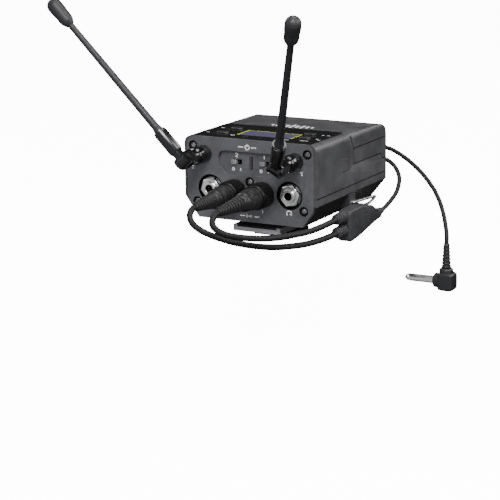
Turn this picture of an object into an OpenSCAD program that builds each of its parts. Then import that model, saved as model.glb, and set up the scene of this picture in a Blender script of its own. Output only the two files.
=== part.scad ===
// Two-channel wireless receiver unit for a camera's accessory shoe.
// A flat metal case carries two swivelling whip antennas, a recessed power
// switch panel, two headphone-size jacks, two screw-lock output plugs on a
// Y cable, a rear battery lid and a sliding foot. Millimetres, +Z up.
// The origin is the centre of the foot's bottom face and the front faces -Y.

/* [Case] */
// Width of the case across its sides
body_w = 65.5; // [64:0.5:67]
// Depth of the case from the front panel to the back
body_d = 72; // [72:0.5:74]
// Height of the case from the bottom edge of the front panel
body_h = 36.7; // [36.5:0.1:37.5]
// Height of the sloping lower edge of the case
slope_h = 9.5; // [9:0.5:10]
// Width that the sloping lower edge takes off each side
slope_w = 6.9; // [6:0.1:7.5]
// Radius of the two top edges
top_r = 3.5; // [2.5:0.1:4]
// Thickness of the metal walls
wall = 1.6; // [1.4:0.1:1.8]

/* [Front panel] */
// Thickness of the front panel
panel_t = 2.4; // [2.2:0.1:2.8]
// Half distance between the two antennas
antenna_x = 22.7; // [22:0.1:23]
// Height of the antenna axes
antenna_z = 29; // [28.5:0.1:29.2]
// Half distance between the input and the headphone jack
jack_x = 19.6; // [19.4:0.1:20]
// Height of the two jacks
jack_z = 13.6; // [13.2:0.1:13.8]
// Radius of the bore of a jack
jack_bore_r = 1.8; // [1.78:0.01:1.82]
// Half distance between the two locking outputs
output_x = 6.9; // [6.8:0.1:7]
// Height of the two locking outputs
output_z = 13.3; // [13.2:0.1:13.5]

/* [Antennas] */
// Distance from an antenna's hinge to its tip
antenna_l = 94.5; // [90:0.5:100]
// Radius of the mast where it leaves the sleeve
mast_r = 1.75; // [1.6:0.05:1.9]
// Radius of the thick tip
tip_r = 3.4; // [3:0.1:3.6]
// Swivel angle of the left antenna, measured outwards from upright
left_swivel = 45; // [0:1:90]
// Angle of the left mast away from straight ahead
left_tilt = 90; // [60:1:90]
// Swivel angle of the right antenna, measured outwards from upright
right_swivel = 26; // [0:1:60]
// Angle of the right mast away from straight ahead
right_tilt = 57.5; // [50:1:90]

/* [Foot] */
// Height of the case's bottom edge above the foot's bottom face
ride_h = 10.5; // [10.5:0.5:12]
// Distance from the front panel back to the foot's centre
foot_set = 30; // [29:0.5:31]
// Width of the foot that slides into an accessory shoe
foot_w = 18.6; // [18.4:0.1:18.7]

/* [Hidden] */

half_w = body_w / 2;
gap = 0.15;                        // clear line between neighbouring covers
rim = 1.5;                         // width of the case's rim round the front panel
lid_y = 36.9;                      // front edge of the battery lid at the sides
lid_z = 22.2;                      // lower edge of the battery lid at the sides
seam_z = 29.2;                     // seam between the lid and its skirt
band_z = 13;                       // top of the lower band
lid_axis = [70.5, 19.4];           // y and z of the battery lid's hinge
lid_barrel_r = 1.4;
display_y = [1.2, 34];             // front and rear edges of the display panel
display_w = 58.5;
pivot_y = -18;                     // y of the antenna hinges
clip_axis = [36, 4.9];             // y and z of the belt clip's pivots
fine = 48;                         // facets of a round part

module in_body() {
    translate([0, -foot_set, ride_h]) children();
}

// Extrudes a profile drawn in X and Z from y0 to y1.
module along_y(y0, y1) {
    translate([0, y1, 0])
        rotate([90, 0, 0])
            linear_extrude(y1 - y0)
                children();
}

// Extrudes a profile drawn in Y and Z from x0 to x1.
module along_x(x0, x1) {
    translate([x0, 0, 0])
        rotate([90, 0, 90])
            linear_extrude(x1 - x0)
                children();
}

// A round rod along Y from y0 to y1.
module rod_y(r, y0, y1) {
    translate([0, y1, 0])
        rotate([90, 0, 0])
            cylinder(r = r, h = y1 - y0, $fn = fine);
}

// A round rod along X from x0 to x1.
module rod_x(r, x0, x1) {
    translate([x0, 0, 0])
        rotate([0, 90, 0])
            cylinder(r = r, h = x1 - x0, $fn = fine);
}

module both_sides() {
    children();
    mirror([1, 0, 0]) children();
}

// Points of a quarter arc about [x, z] from angle a0 to a1.
function arc(x, z, r, a0, a1, n = 8) =
    [for (i = [0:n]) [x + r * cos(a0 + (a1 - a0) * i / n), z + r * sin(a0 + (a1 - a0) * i / n)]];

// Outline of the case across its width, drawn in X and Z and moved in by e.
function case_outline(e) = concat(
    [[-half_w + slope_w + e * 0.6, e], [half_w - slope_w - e * 0.6, e]],
    [[half_w - e, slope_h + e * 0.18]],
    arc(half_w - top_r, body_h - top_r, top_r - e, 0, 90),
    arc(-half_w + top_r, body_h - top_r, top_r - e, 90, 180),
    [[-half_w + e, slope_h + e * 0.18]]
);

module case_profile(e) {
    polygon(case_outline(e));
}

// Outline of the front panel. The case's rim stands beside it on both sides.
module panel_profile() {
    side = half_w - rim;
    slope_top = slope_h * (1 - rim / slope_w);
    polygon(concat(
        [[-half_w + slope_w, 0], [half_w - slope_w, 0], [side, slope_top]],
        arc(side - top_r, body_h - top_r, top_r, 0, 90),
        arc(-side + top_r, body_h - top_r, top_r, 90, 180),
        [[-side, slope_top]]
    ));
}

// Outline of the case along its depth, drawn in Y and Z.
module side_profile() {
    back_r = 5.5;
    top_fall = 1.2;
    polygon(concat(
        [[0, 0], [69, 0], [body_d, slope_h]],
        arc(body_d - back_r, body_h - top_fall - back_r, back_r, 0, 84),
        [[0, body_h]]
    ));
}

// Side outline of the battery lid with its skirt, moved out by e.
module lid_profile(e) {
    polygon([
        [34.2 - e, body_h + 2], [34.5 - e, 35], [35.6 - e, 32], [lid_y - e, seam_z + 0.6],
        [lid_y - e, lid_z - e], [65.8 - e * 0.6, lid_z - e], [68.6 - e * 0.6, 19.4 - e],
        [lid_axis[0] - e * 0.5, 19.4 - e], [body_d + 2, 19.4 - e], [body_d + 2, body_h + 2]
    ]);
    translate(lid_axis) circle(r = lid_barrel_r + e, $fn = fine);
}

// ---- case -----------------------------------------------------------------

screw_places = [[-28.3, 32.4], [28.3, 32.4], [-26.5, 7.2], [26.5, 7.2], [0, 18.1]];
switch_x = [7, -7];
switch_z = 26.3;
recess_w = 31.4;
recess_z = [21, 31.2];
recess_depth = 1.5;

// Stadium-like outline of the switch recess with bevelled lower corners.
module recess_outline() {
    x = recess_w / 2;
    polygon(concat(
        [[-x + 3.6, recess_z[0]], [x - 3.6, recess_z[0]], [x - 0.6, recess_z[0] + 3]],
        arc(x - 3.6, recess_z[1] - 3.6, 3.6, 0, 90),
        arc(-x + 3.6, recess_z[1] - 3.6, 3.6, 90, 180),
        [[-x + 0.6, recess_z[0] + 3]]
    ));
}

module front_panel() {
    color("#5c5c5e") in_body() difference() {
        along_y(0, panel_t) panel_profile();
        // step under the front edge of the display panel
        translate([-display_w / 2, display_y[0] - 0.1, 35.2]) cube([display_w, 3, 3]);
        along_y(-1, recess_depth) recess_outline();
        for (x = [-antenna_x, antenna_x])
            translate([x, 0, antenna_z]) rod_y(3.5, -1, 4);
        for (x = [-jack_x, jack_x]) translate([x, 0, jack_z]) {
            rod_y(6.3, -1, 1.5);
            rod_y(3.1, -1, 4);
        }
        for (x = [-output_x, output_x])
            translate([x, 0, output_z]) rod_y(4.4, -1, 4);
        for (p = screw_places) translate([p[0], 0, p[1]]) {
            rod_y(1.95, -1, 1);
            rod_y(1, -1, 4);
        }
        for (x = switch_x) translate([x, 1, switch_z])
            cube([5, 6, 2.3], center = true);
        translate([0, 2, 26.1]) cube([1.7, 6, 5.9], center = true);
    }
}

module case_frame() {
    color("#464648") in_body() difference() {
        intersection() {
            along_y(0, body_d) case_profile(0);
            along_x(-40, 40) side_profile();
        }
        // front rim and its bevel
        along_y(-1, panel_t) panel_profile();
        // hollow of the front bay and of the rear bay
        along_y(panel_t - 0.1, body_d - wall) case_profile(wall);
        // everything below the seam
        translate([-50, -1, -5]) cube([100, body_d + 2, band_z + 5]);
        // window for the display panel
        translate([-display_w / 2, display_y[0], 30])
            cube([display_w, display_y[1] - display_y[0], 20]);
        // opening for the battery lid
        along_x(-50, 50) lid_profile(gap);
        translate([-50, lid_axis[0], 17.8]) cube([100, 5, 2]);
        // openings for the two lid latches
        translate([-50, 25.9, 20]) cube([100, 6.8, 6.3]);
    }
    // hinge knuckles and the web that carries them
    color("#464648") in_body() both_sides() difference() {
        union() {
            translate([20, lid_axis[0], lid_axis[1]]) rod_x(lid_barrel_r, 0, 6);
            translate([20, lid_axis[0] - lid_barrel_r, 17.4]) cube([6, 1.3, 2]);
            translate([20, lid_axis[0] - lid_barrel_r, 16.4]) cube([6, 2.5, 1]);
        }
        translate([20, lid_axis[0], lid_axis[1]]) rod_x(0.55, -1, 7);
    }
}

module lower_band() {
    color("#464648") in_body() difference() {
        intersection() {
            along_y(0, body_d) case_profile(0);
            along_x(-40, 40) side_profile();
            translate([-50, 0, slope_h]) cube([100, body_d, band_z - slope_h - gap]);
        }
        along_y(-1, panel_t) panel_profile();
        along_y(panel_t - 0.1, body_d - wall) case_profile(wall);
    }
}

module bottom_cover() {
    color("#1b1b1c") in_body() difference() {
        union() {
            difference() {
                intersection() {
                    along_y(0, body_d) case_profile(0);
                    along_x(-40, 40) side_profile();
                    translate([-50, 0, 0]) cube([100, body_d, slope_h]);
                }
                along_y(-1, panel_t) panel_profile();
                intersection() {
                    along_y(panel_t - 0.1, body_d - wall) case_profile(wall);
                    along_x(-40, 40) polygon([[0, wall], [67, wall], [70, slope_h + 1], [0, slope_h + 1]]);
                }
            }
            // ears that carry the belt clip
            both_sides() along_y(clip_axis[0] - 3, clip_axis[0] + 3)
                polygon([[32.6, 9.45], [32.6, 2.6], [27.4, 2.6], [27.4, 3.2], [31.6, 9]]);
        }
        // pivot holes of the belt clip
        both_sides() translate([29.5, clip_axis[0], clip_axis[1]]) rod_x(0.68, 0, 4);
        // four holes for the adapter's screws
        for (x = [-7, 7], y = [20, 44])
            translate([x, y, -1]) cylinder(r = 1.1, h = 5, $fn = 24);
    }
}

module panel_screws() {
    color("#8a8a8c") in_body() for (p = screw_places) translate([p[0], 0, p[1]]) difference() {
        union() {
            rod_y(1.75, 0.2, 1);
            rod_y(0.9, 1, 5.5);
        }
        translate([0, 0.4, 0]) for (a = [0, 90]) rotate([0, a, 0])
            cube([2.1, 1, 0.5], center = true);
    }
}

// ---- display --------------------------------------------------------------

button_places = [[-19.4, 11.6], [-18.4, 22.8], [18.2, 23.2], [20, 14.2]];
lens_places = [[-5.3, 6.2], [1.3, 6.9], [-23, 10.8], [-21.6, 20.2]];
lcd = [-12.2, 10.2, 27.6, 12.4];   // x, y, width and depth of the display's frame

module stadium(w, d, h) {
    linear_extrude(h) {
        square([w - d, d], center = true);
        for (s = [-1, 1]) translate([s * (w - d) / 2, 0]) circle(d = d, $fn = 32);
    }
}

module display_panel() {
    color("#0c0c0d") in_body() difference() {
        translate([-display_w / 2 + 0.1, display_y[0] + 0.1, 35.3])
            cube([display_w - 0.2, display_y[1] - display_y[0] - 0.2, body_h - 35.3]);
        for (p = button_places) translate([p[0], p[1], 30]) stadium(5.9, 3.5, 10);
        for (p = lens_places) translate([p[0], p[1], 30]) stadium(2.1, 1.1, 10);
        translate([lcd[0], lcd[1], 30]) cube([lcd[2], lcd[3], 10]);
    }
}

module lcd_frame() {
    color("#c4cc22") in_body() translate([lcd[0] + 0.05, lcd[1] + 0.05, 35.3]) difference() {
        cube([lcd[2] - 0.1, lcd[3] - 0.1, 1.2]);
        translate([1, 1, -1]) cube([lcd[2] - 2.1, lcd[3] - 2.1, 4]);
    }
}

module lcd_glass() {
    color("#5d5a7a") in_body() translate([lcd[0] + 1.1, lcd[1] + 1.1, 34.3])
        cube([lcd[2] - 2.2, lcd[3] - 2.2, 1.9]);
}

module indicator_lenses() {
    color("#3a3a3c") in_body() for (p = lens_places)
        translate([p[0], p[1], 35.3]) stadium(1.9, 0.9, 1.5);
}

module menu_button(i) {
    p = button_places[i];
    color("#232325") in_body() translate([p[0], p[1], 0]) {
        translate([0, 0, 34]) stadium(7.2, 4.8, 1);
        translate([0, 0, 35]) stadium(5.6, 3.2, 2.3);
    }
}

module display_board() {
    color("#1f5a3a") in_body() {
        translate([-28, 6, 31.6]) cube([56, 27, 1]);
        // display module and the push-button domes on the board
        translate([-11.4, 11, 32.6]) cube([25.4, 10.8, 1.5]);
        for (p = button_places) translate([p[0], p[1], 32.6]) cylinder(r = 1.6, h = 0.7, $fn = 24);
    }
}

// ---- inside ---------------------------------------------------------------

module main_board() {
    color("#1f5a3a") in_body() {
        translate([-27.5, 17.5, 6]) cube([55, 43, 1.2]);
        translate([-10, 46, 7.2]) cube([12, 9, 1.6]);
        translate([8, 48, 7.2]) cube([7, 7, 1.4]);
        translate([-22, 46, 7.2]) cylinder(r = 2.5, h = 5, $fn = 24);
    }
}

module tuner_cans() {
    color("#b9babc") in_body() for (x = [-24.5, 1.5])
        translate([x, 19, 7.2]) cube([23, 15, 4]);
}

module battery_tray() {
    color("#2a2a2c") in_body() difference() {
        translate([-29.5, 38.2, 16.6]) cube([59, 30.1, 6.6]);
        translate([-28, 39, 18]) cube([56, 28.6, 8]);
        translate([0, 68.4, 20]) cube([60, 3, 4], center = true);
    }
}

cell_r = 7.1;
cell_l = 50;
cell_y = [46.2, 60.6];
cell_z = 25.4;

module battery_contacts() {
    color("#c9c9c6") in_body() for (i = [0, 1]) {
        s = i * 2 - 1;
        // flat plate at one end of each cell and a coil spring at the other
        translate([s * 27.4, cell_y[i], 22.9]) cube([0.8, 9, 9.2], center = true);
        translate([-s * 27.6, cell_y[i], 22.9]) cube([0.4, 9, 9.2], center = true);
        translate([-s * 26.3, cell_y[i], cell_z]) rotate([0, 90, 0])
            difference() {
                cylinder(r = 2.9, h = 2.2, center = true, $fn = 32);
                cylinder(r = 2.3, h = 4, center = true, $fn = 32);
            }
    }
}

module battery_cells() {
    color("#3c4a66") in_body() for (i = [0, 1]) {
        s = i * 2 - 1;
        translate([0, cell_y[i], cell_z]) {
            rod_x(cell_r, -cell_l / 2, cell_l / 2 - 0.1);
            if (s > 0)
                rod_x(2.7, cell_l / 2 - 0.1, cell_l / 2 + 1.9);
            else
                rod_x(2.7, -cell_l / 2 - 1.9, -cell_l / 2);
        }
    }
}

module power_switch_bodies() {
    color("#303032") in_body() for (x = switch_x) difference() {
        translate([x - 4.6, panel_t, switch_z - 2.6]) cube([9.2, 5.4, 5.2]);
        translate([x, panel_t, switch_z]) cube([6, 6, 2.7], center = true);
    }
}

module power_knob(x) {
    color("#6a6a6c") in_body() translate([x - 1.15, 0, switch_z]) {
        translate([-1.05, 0.3, -0.95]) cube([2.1, 4.6, 1.9]);
        for (dx = [-0.75, 0, 0.75])
            translate([dx - 0.15, 0.1, -0.95]) cube([0.3, 0.3, 1.9]);
    }
}

// ---- battery lid ----------------------------------------------------------

lid_knuckle = 6.3;                 // width of the slot for a case knuckle

module lid_shape(z0, z1) {
    difference() {
        intersection() {
            along_y(0, body_d) case_profile(0);
            along_x(-40, 40) side_profile();
            along_x(-40, 40) lid_profile(0);
            translate([-50, 0, z0]) cube([100, 100, z1 - z0]);
        }
        // hollow of the shell, left full along the hinge
        intersection() {
            along_y(0, body_d - wall) case_profile(wall);
            along_x(-40, 40) polygon([
                [0, 10], [68.4, 10], [68.4, 21.4], [body_d - wall, 22.4],
                [body_d - wall, 28], [68.8, 32.8], [65, body_h - 2.6], [0, body_h - wall]
            ]);
        }
    }
}

module battery_lid() {
    color("#474749") in_body() lid_shape(seam_z + 0.1, 50);
}

module lid_skirt() {
    color("#444446") in_body() difference() {
        lid_shape(10, seam_z);
        both_sides() translate([20 - gap, 0, 0]) {
            translate([0, lid_axis[0], lid_axis[1]]) rod_x(lid_barrel_r + gap, 0, lid_knuckle);
            translate([0, 67, 10]) cube([lid_knuckle, 3.5, 9.5]);
        }
        translate([0, lid_axis[0], lid_axis[1]]) rod_x(0.55, -40, 40);
        // notches that the latches catch
        both_sides() translate([30, 38, 22.9]) cube([1.5, 4, 3]);
    }
}

module lid_hinge_pin() {
    color("#a9aaac") in_body() translate([0, lid_axis[0], lid_axis[1]]) rod_x(0.5, -29, 29);
}

module latch_right() {
    color("#4b4b4d") in_body() {
        translate([half_w - 1.9, 26.1, 20.2]) cube([1.9, 6.4, 5.9]);
        translate([half_w - 3.1, 24.6, 18.8]) cube([1.2, 9.4, 8.7]);
        translate([half_w - 3.1, 34, 22.2]) cube([1.2, 2.2, 2.6]);
    }
}

module latch_left() {
    mirror([1, 0, 0]) latch_right();
}

// ---- jacks and outputs ----------------------------------------------------

jack_l = 14;

module jack_sleeves() {
    color("#d8d8da") in_body() for (x = [-jack_x, jack_x]) translate([x, 0, jack_z])
        difference() {
            rod_y(3, -1.8, jack_l - 1.8);
            rod_y(jack_bore_r, -3, jack_l);
        }
}

module jack_nuts() {
    color("#c9c9cb") in_body() for (x = [-jack_x, jack_x]) translate([x, 0, jack_z])
        difference() {
            translate([0, 1.5, 0]) rotate([90, 0, 0]) cylinder(r = 5.5, h = 2.1, $fn = 6);
            rod_y(3.05, -2, 3);
        }
}

module jack_bodies() {
    color("#26262a") in_body() for (x = [-jack_x, jack_x]) translate([x, 0, jack_z])
        difference() {
            translate([-4.5, panel_t + 0.6, -4]) cube([9, 12.2, 8]);
            rod_y(3.05, 0, 13);
            rod_y(jack_bore_r, 0, 20);
        }
}

module output_sockets() {
    color("#9a9b9e") in_body() for (x = [-output_x, output_x]) translate([x, 0, output_z])
        difference() {
            union() {
                rod_y(3.8, -4.6, panel_t);
                rod_y(5, panel_t, panel_t + 1.2);
                rod_y(4.2, 0, panel_t);
                rod_y(3.6, panel_t + 1.2, 14);
            }
            rod_y(jack_bore_r, -6, 11.8);
        }
}

plug_end = [-41, -36.5];           // y where each output lead leaves its plug

module lock_collar(x) {
    color("#141415") in_body() translate([x, 0, output_z]) difference() {
        union() {
            rod_y(5.5, -9.5, -0.4);
            // knurled ridges round the collar
            for (a = [0:15:345]) rotate([0, a, 0])
                translate([0, -9, 5.35]) cube([0.5, 7.4, 0.6]);
        }
        rod_y(3.85, -6, 0);
        rod_y(3.05, -10, -5);
    }
}

module output_plug(x) {
    color("#2a2a2c") in_body() translate([x, 0, output_z]) {
        rod_y(1.75, -5, 8.6);
        rod_y(3, -9.7, -4.9);
        rod_y(4.7, -10.6, -9.7);
        rod_y(4.3, -11.4, -10.6);
        rod_y(4.6, -18.6, -11.4);
        translate([0, -18.6, 0]) rotate([90, 0, 0])
            cylinder(r1 = 4.6, r2 = 4.2, h = 2, $fn = fine);
    }
}

// Tapered, ribbed cord guard from y0 back to y1, its radius going from r0 to r1.
module ribbed_guard(y0, y1, r0, r1, ribs, cord_r) {
    step = (y0 - y1) / ribs;
    difference() {
        union() {
            translate([0, y0, 0]) rotate([90, 0, 0])
                cylinder(r1 = r0 - 0.45, r2 = r1 - 0.35, h = y0 - y1, $fn = fine);
            for (i = [0:ribs - 1])
                translate([0, y0 - i * step, 0])
                    rod_y(r0 + (r1 - r0) * i / ribs, -step * 0.55, 0);
        }
        rod_y(cord_r, y1 - 1, y1 + 1.4);
    }
}

lead_r = 1.4;
tail_r = 1.05;

module plug_relief(x, y1) {
    color("#222224") in_body() translate([x, 0, output_z])
        ribbed_guard(-20.6, y1, 3.7, 2.1, 9, lead_r);
}

// ---- antennas -------------------------------------------------------------

module antenna_bushes() {
    color("#1a1a1b") in_body() for (x = [-antenna_x, antenna_x])
        translate([x, 0, antenna_z]) difference() {
            union() {
                rod_y(3.45, 0, panel_t);
                rod_y(4.6, panel_t, panel_t + 1.4);
            }
            rod_y(2.05, -1, 6);
        }
}

// Places a shape drawn about the hinge, with the mast along +Z, at its antenna.
module at_hinge(x, swivel) {
    in_body() translate([x, pivot_y, antenna_z]) rotate([0, swivel, 0]) children();
}

module antenna_base(x, swivel) {
    color("#111112") at_hinge(x, swivel) difference() {
        union() {
            rod_y(2, -pivot_y - 0.2, -pivot_y + panel_t + 2.2);
            rod_y(2.8, -pivot_y + panel_t + 1.5, -pivot_y + panel_t + 2.4);
            rod_y(3.9, 10, -pivot_y - 0.2);
            translate([0, 10, 0]) rotate([90, 0, 0])
                cylinder(r1 = 3.9, r2 = 3.1, h = 1.4, $fn = fine);
            rod_y(3.1, 4.2, 8.6);
            // fork
            rod_x(3, -3.1, 3.1);
            translate([-3.1, 0, -3]) cube([6.2, 5, 6]);
        }
        translate([-1.6, -4, -5]) cube([3.2, 8.2, 10]);
        rod_x(0.9, -4, 4);
    }
}

module antenna_pin(x, swivel) {
    color("#7d7e80") at_hinge(x, swivel) {
        rod_x(0.85, -3.4, 3.4);
        rod_x(1.5, 3.1, 3.6);
        rod_x(1.5, -3.6, -3.1);
    }
}

// The tilt turns the mast from +Z towards -Y.
module at_mast(x, swivel, tilt) {
    at_hinge(x, swivel) rotate([90 - tilt, 0, 0]) children();
}

module antenna_sleeve(x, swivel, tilt) {
    color("#0f0f10") at_mast(x, swivel, tilt) difference() {
        union() {
            rod_x(2.9, -1.5, 1.5);
            translate([-1.5, -2.2, 0]) cube([3, 4.4, 5]);
            translate([0, 0, 4.4]) cylinder(r1 = 2.5, r2 = 3.1, h = 1.2, $fn = fine);
            translate([0, 0, 5.6]) cylinder(r = 3.1, h = 10.4, $fn = fine);
            translate([0, 0, 16]) cylinder(r = 2.9, h = 1, $fn = fine);
        }
        rod_x(0.9, -4, 4);
        translate([0, 0, 8]) cylinder(r = 1.5, h = 10, $fn = 32);
    }
}

tip_l = 15;

module antenna_mast(x, swivel, tilt) {
    color("#3a3a3c") at_mast(x, swivel, tilt) {
        translate([0, 0, 8]) cylinder(r = 1.5, h = 9, $fn = 32);
        translate([0, 0, 17])
            cylinder(r1 = mast_r, r2 = mast_r - 0.3, h = antenna_l - tip_l - 17, $fn = 32);
        translate([0, 0, antenna_l - tip_l]) cylinder(r = 0.9, h = 8, $fn = 24);
    }
}

module antenna_tip(x, swivel, tilt) {
    z0 = antenna_l - tip_l;
    color("#2d2d2f") at_mast(x, swivel, tilt) difference() {
        rotate_extrude($fn = fine) polygon(concat(
            [[0, z0], [2, z0], [2.9, z0 + 1.5], [tip_r, z0 + 4]],
            arc(0, antenna_l - tip_r, tip_r, 0, 90)
        ));
        translate([0, 0, z0 - 1]) cylinder(r = 0.9, h = 9, $fn = 24);
    }
}

// ---- belt clip and shoe adapter -------------------------------------------

clip_r = 0.65;
// Route of the clip's wire on the right side, from its pivot to the middle.
clip_route = [
    [30.2, 36, 4.9], [33.4, 36, 4.9], [33.4, 57.6, 3.6], [32.9, 59.6, 3], [31.4, 60.8, 1.4],
    [29.2, 61.2, -0.6], [26.8, 61.2, -1.8]
];

// A straight rod of radius r from point p to point q.
module rod_between(p, q, r) {
    d = q - p;
    translate(p) rotate([0, acos(d[2] / norm(d)), atan2(d[1], d[0])])
        cylinder(r = r, h = norm(d), $fn = 24);
}

module belt_clip() {
    last = clip_route[len(clip_route) - 1];
    color("#b4b5b8") in_body() {
        for (s = [-1, 1]) {
            p = [for (q = clip_route) [s * q[0], q[1], q[2]]];
            for (i = [0:len(p) - 2]) rod_between(p[i], p[i + 1], clip_r);
            for (i = [1:len(p) - 1]) translate(p[i]) sphere(r = clip_r + 0.02, $fn = 24);
        }
        translate([0, last[1], last[2]]) rod_x(clip_r, -last[0], last[0]);
    }
}

module adapter_plate() {
    color("#232325") in_body() difference() {
        union() {
            translate([-11.8, 6, -6]) cube([23.6, 48, 2]);
            // thick tabs at the front corners and rails along the sides
            for (s = [-1, 1]) translate([s * 10.8 - 1, 6, -6]) cube([2, 48, 2.9]);
        }
        for (x = [-7, 7], y = [20, 44])
            translate([x, y, -8]) cylinder(r = 1.1, h = 5, $fn = 24);
    }
}

module adapter_block() {
    color("#171718") in_body() difference() {
        translate([-9.6, 13, -4]) cube([19.2, 41, 4]);
        for (x = [-7, 7], y = [20, 44])
            translate([x, y, -8]) cylinder(r = 1.1, h = 10, $fn = 24);
    }
}

module shoe_foot() {
    color("#3c3c3e") in_body() translate([0, foot_set, -ride_h]) {
        translate([-foot_w / 2, -9, 0]) cube([foot_w, 18, 1.9]);
        translate([-6.2, -9, 1.9]) cube([12.4, 18, ride_h - 6 - 1.9]);
    }
}

module adapter_screws() {
    color("#8a8a8c") in_body() for (x = [-7, 7], y = [20, 44]) translate([x, y, -6]) {
        cylinder(r = 1.05, h = 9, $fn = 24);
    }
}

// ---- cable set ------------------------------------------------------------

// Route of each lead, measured from the front panel's plane and the case's
// bottom edge. The first point lies in the plug's guard, the last in the block's.
lead_1_route = [
    [6.9, -39.6, 13.3], [6.9, -42.6, 13], [6.9, -45.2, 11.6], [7.2, -46.4, 9.4],
    [8.6, -46, 7.2], [10.8, -44, 5.2], [14, -40, 3.4], [18, -34, 1.8], [22, -27, 0.6],
    [25.6, -20, 0], [29, -13, 0], [32.4, -7, 0.4], [35.6, -1, 1.6], [37.8, 5, 2.8], [38, 8, 3]
];
lead_2_route = [
    [-6.9, -35.1, 13.3], [-6.9, -38, 13.1], [-6.7, -40.6, 12], [-6, -42.2, 10],
    [-4.4, -42.6, 7.6], [-1.6, -41.8, 5.2], [2, -39.8, 3], [6, -36.6, 0.8],
    [10.6, -31.6, -1.6], [15.4, -25.6, -3.6], [20.6, -18.6, -5.2], [25.6, -11.6, -5.8],
    [30.4, -5.6, -5.6], [34.6, 0, -4.6], [37.6, 5, -3.4], [38, 8, -3]
];
tail_route = [
    [38, 56, -2.2], [38.5, 60, -0.8], [39, 64, 1], [39.5, 68, 3.4], [39.5, 71, 6.4],
    [38.5, 74, 9.8], [36, 76.5, 12.8], [32, 79.5, 15], [26.5, 82.5, 16.2], [19, 84.4, 16.6],
    [12, 85.4, 16.6], [7.6, 87, 16.7], [5.4, 90.4, 17.2], [7, 94, 18], [12, 95.6, 19],
    [18, 94, 19.6], [24.4, 91.8, 19.4], [30.4, 89.8, 18], [37, 86.4, 15.8], [44, 82.4, 12.8],
    [51.4, 77.8, 8.4], [58, 73, 3], [62.6, 69, -3.4], [65.6, 65.4, -9.4], [67.2, 62.8, -13],
    [67.6, 61.8, -16]
];

function unit(v) = v / norm(v);
// Direction of a route at its point i.
function heading(p, i) = unit(p[min(i + 1, len(p) - 1)] - p[max(i - 1, 0)]);
// Frame carried along a route without twist: the first side axis, then each next.
function sides(p) = [
    for (i = 0, s = unit(cross(heading(p, 0), [0, 0, 1])); i < len(p);
         i = i + 1, s = i < len(p) ? unit(s - heading(p, i) * (s * heading(p, i))) : s) s
];

// One closed tube of radius r with n sides through the points p.
module tube(p, r, n = 8) {
    side = sides(p);
    rings = [for (i = [0:len(p) - 1]) for (k = [0:n - 1])
        p[i] + r * (cos(360 * k / n) * side[i] + sin(360 * k / n) * cross(heading(p, i), side[i]))];
    last = (len(p) - 1) * n;
    polyhedron(
        points = rings,
        faces = concat(
            [[for (k = [0:n - 1]) k]],
            [for (i = [0:len(p) - 2]) for (k = [0:n - 1])
                [i * n + k, (i + 1) * n + k, (i + 1) * n + (k + 1) % n]],
            [for (i = [0:len(p) - 2]) for (k = [0:n - 1])
                [i * n + k, (i + 1) * n + (k + 1) % n, i * n + (k + 1) % n]],
            [[for (k = [0:n - 1]) last + n - 1 - k]]
        )
    );
}

module cord(p, r) {
    color("#1c1c1d") in_body() tube(p, r);
}

// Y block: two ribbed guards at the front, a flat wedge body and a thin rear guard.
module y_block() {
    color("#262628") in_body() {
        along_x(34.9, 41.1) polygon([
            [16, 5.4], [16, -8.2], [19, -8.8], [27, -7.8], [43, -4.6], [50, -3.8],
            [50, -0.7], [44, 1.4], [40, 3.8], [28, 5.6]
        ]);
        translate([38, 0, -2.2]) rod_y(1.7, 50, 56);
        for (z = [3, -3]) translate([38, 0, z]) {
            rod_y(1.9, 8, 16);
            for (y = [8, 10.6, 13.2]) rod_y(2.5, y, y + 1.4);
        }
    }
}

far = [67.6, 61.8, -20.5];         // top of the far plug's housing is 7 mm below

module camera_plug() {
    color("#232325") in_body() translate(far) {
        translate([-3.4, -3.6, -17.4]) cube([7.6, 7.2, 8.4]);
        translate([0, 0, -9]) cylinder(r = 3.3, h = 2, $fn = fine);
        translate([-3.4, 0, -13.2]) rotate([0, -90, 0]) cylinder(r = 3.4, h = 2.4, $fn = fine);
    }
}

module camera_plug_relief() {
    color("#222224") in_body() translate(far) rotate([90, 0, 0]) {
        rod_y(1.7, -7, 4.5);
        for (y = [-6.6:1.7:4]) rod_y(2.3 - 0.06 * (y + 7), y, y + 0.9);
    }
}

module camera_plug_pin() {
    color("#cfcfd1") in_body() translate([far[0] - 5.8, far[1], far[2] - 13.2]) {
        rod_x(1.75, -12, 0);
        translate([-12, 0, 0]) rotate([0, -90, 0]) cylinder(r1 = 1.2, r2 = 1.7, h = 1, $fn = 32);
        translate([-13, 0, 0]) rotate([0, -90, 0]) cylinder(r1 = 1.7, r2 = 0.6, h = 1.4, $fn = 32);
    }
}

front_panel();
case_frame();
lower_band();
bottom_cover();
display_panel();
lcd_frame();
lcd_glass();
indicator_lenses();
panel_screws();
power_switch_bodies();
power_knob(switch_x[0]);  // power_knob_1
power_knob(switch_x[1]);  // power_knob_2
menu_button(0);  // menu_button_1
menu_button(1);  // menu_button_2
menu_button(2);  // menu_button_3
menu_button(3);  // menu_button_4
display_board();
main_board();
tuner_cans();
battery_tray();
battery_contacts();
battery_cells();
battery_lid();
lid_skirt();
lid_hinge_pin();
latch_left();
latch_right();
jack_sleeves();
jack_nuts();
jack_bodies();
output_sockets();
output_plug(output_x);  // output_plug_1
output_plug(-output_x);  // output_plug_2
lock_collar(output_x);  // lock_collar_1
lock_collar(-output_x);  // lock_collar_2
plug_relief(output_x, plug_end[0]);  // plug_relief_1
plug_relief(-output_x, plug_end[1]);  // plug_relief_2
antenna_bushes();
antenna_base(-antenna_x, -left_swivel);  // antenna_base_left
antenna_base(antenna_x, right_swivel);  // antenna_base_right
antenna_pin(-antenna_x, -left_swivel);  // antenna_pin_left
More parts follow.
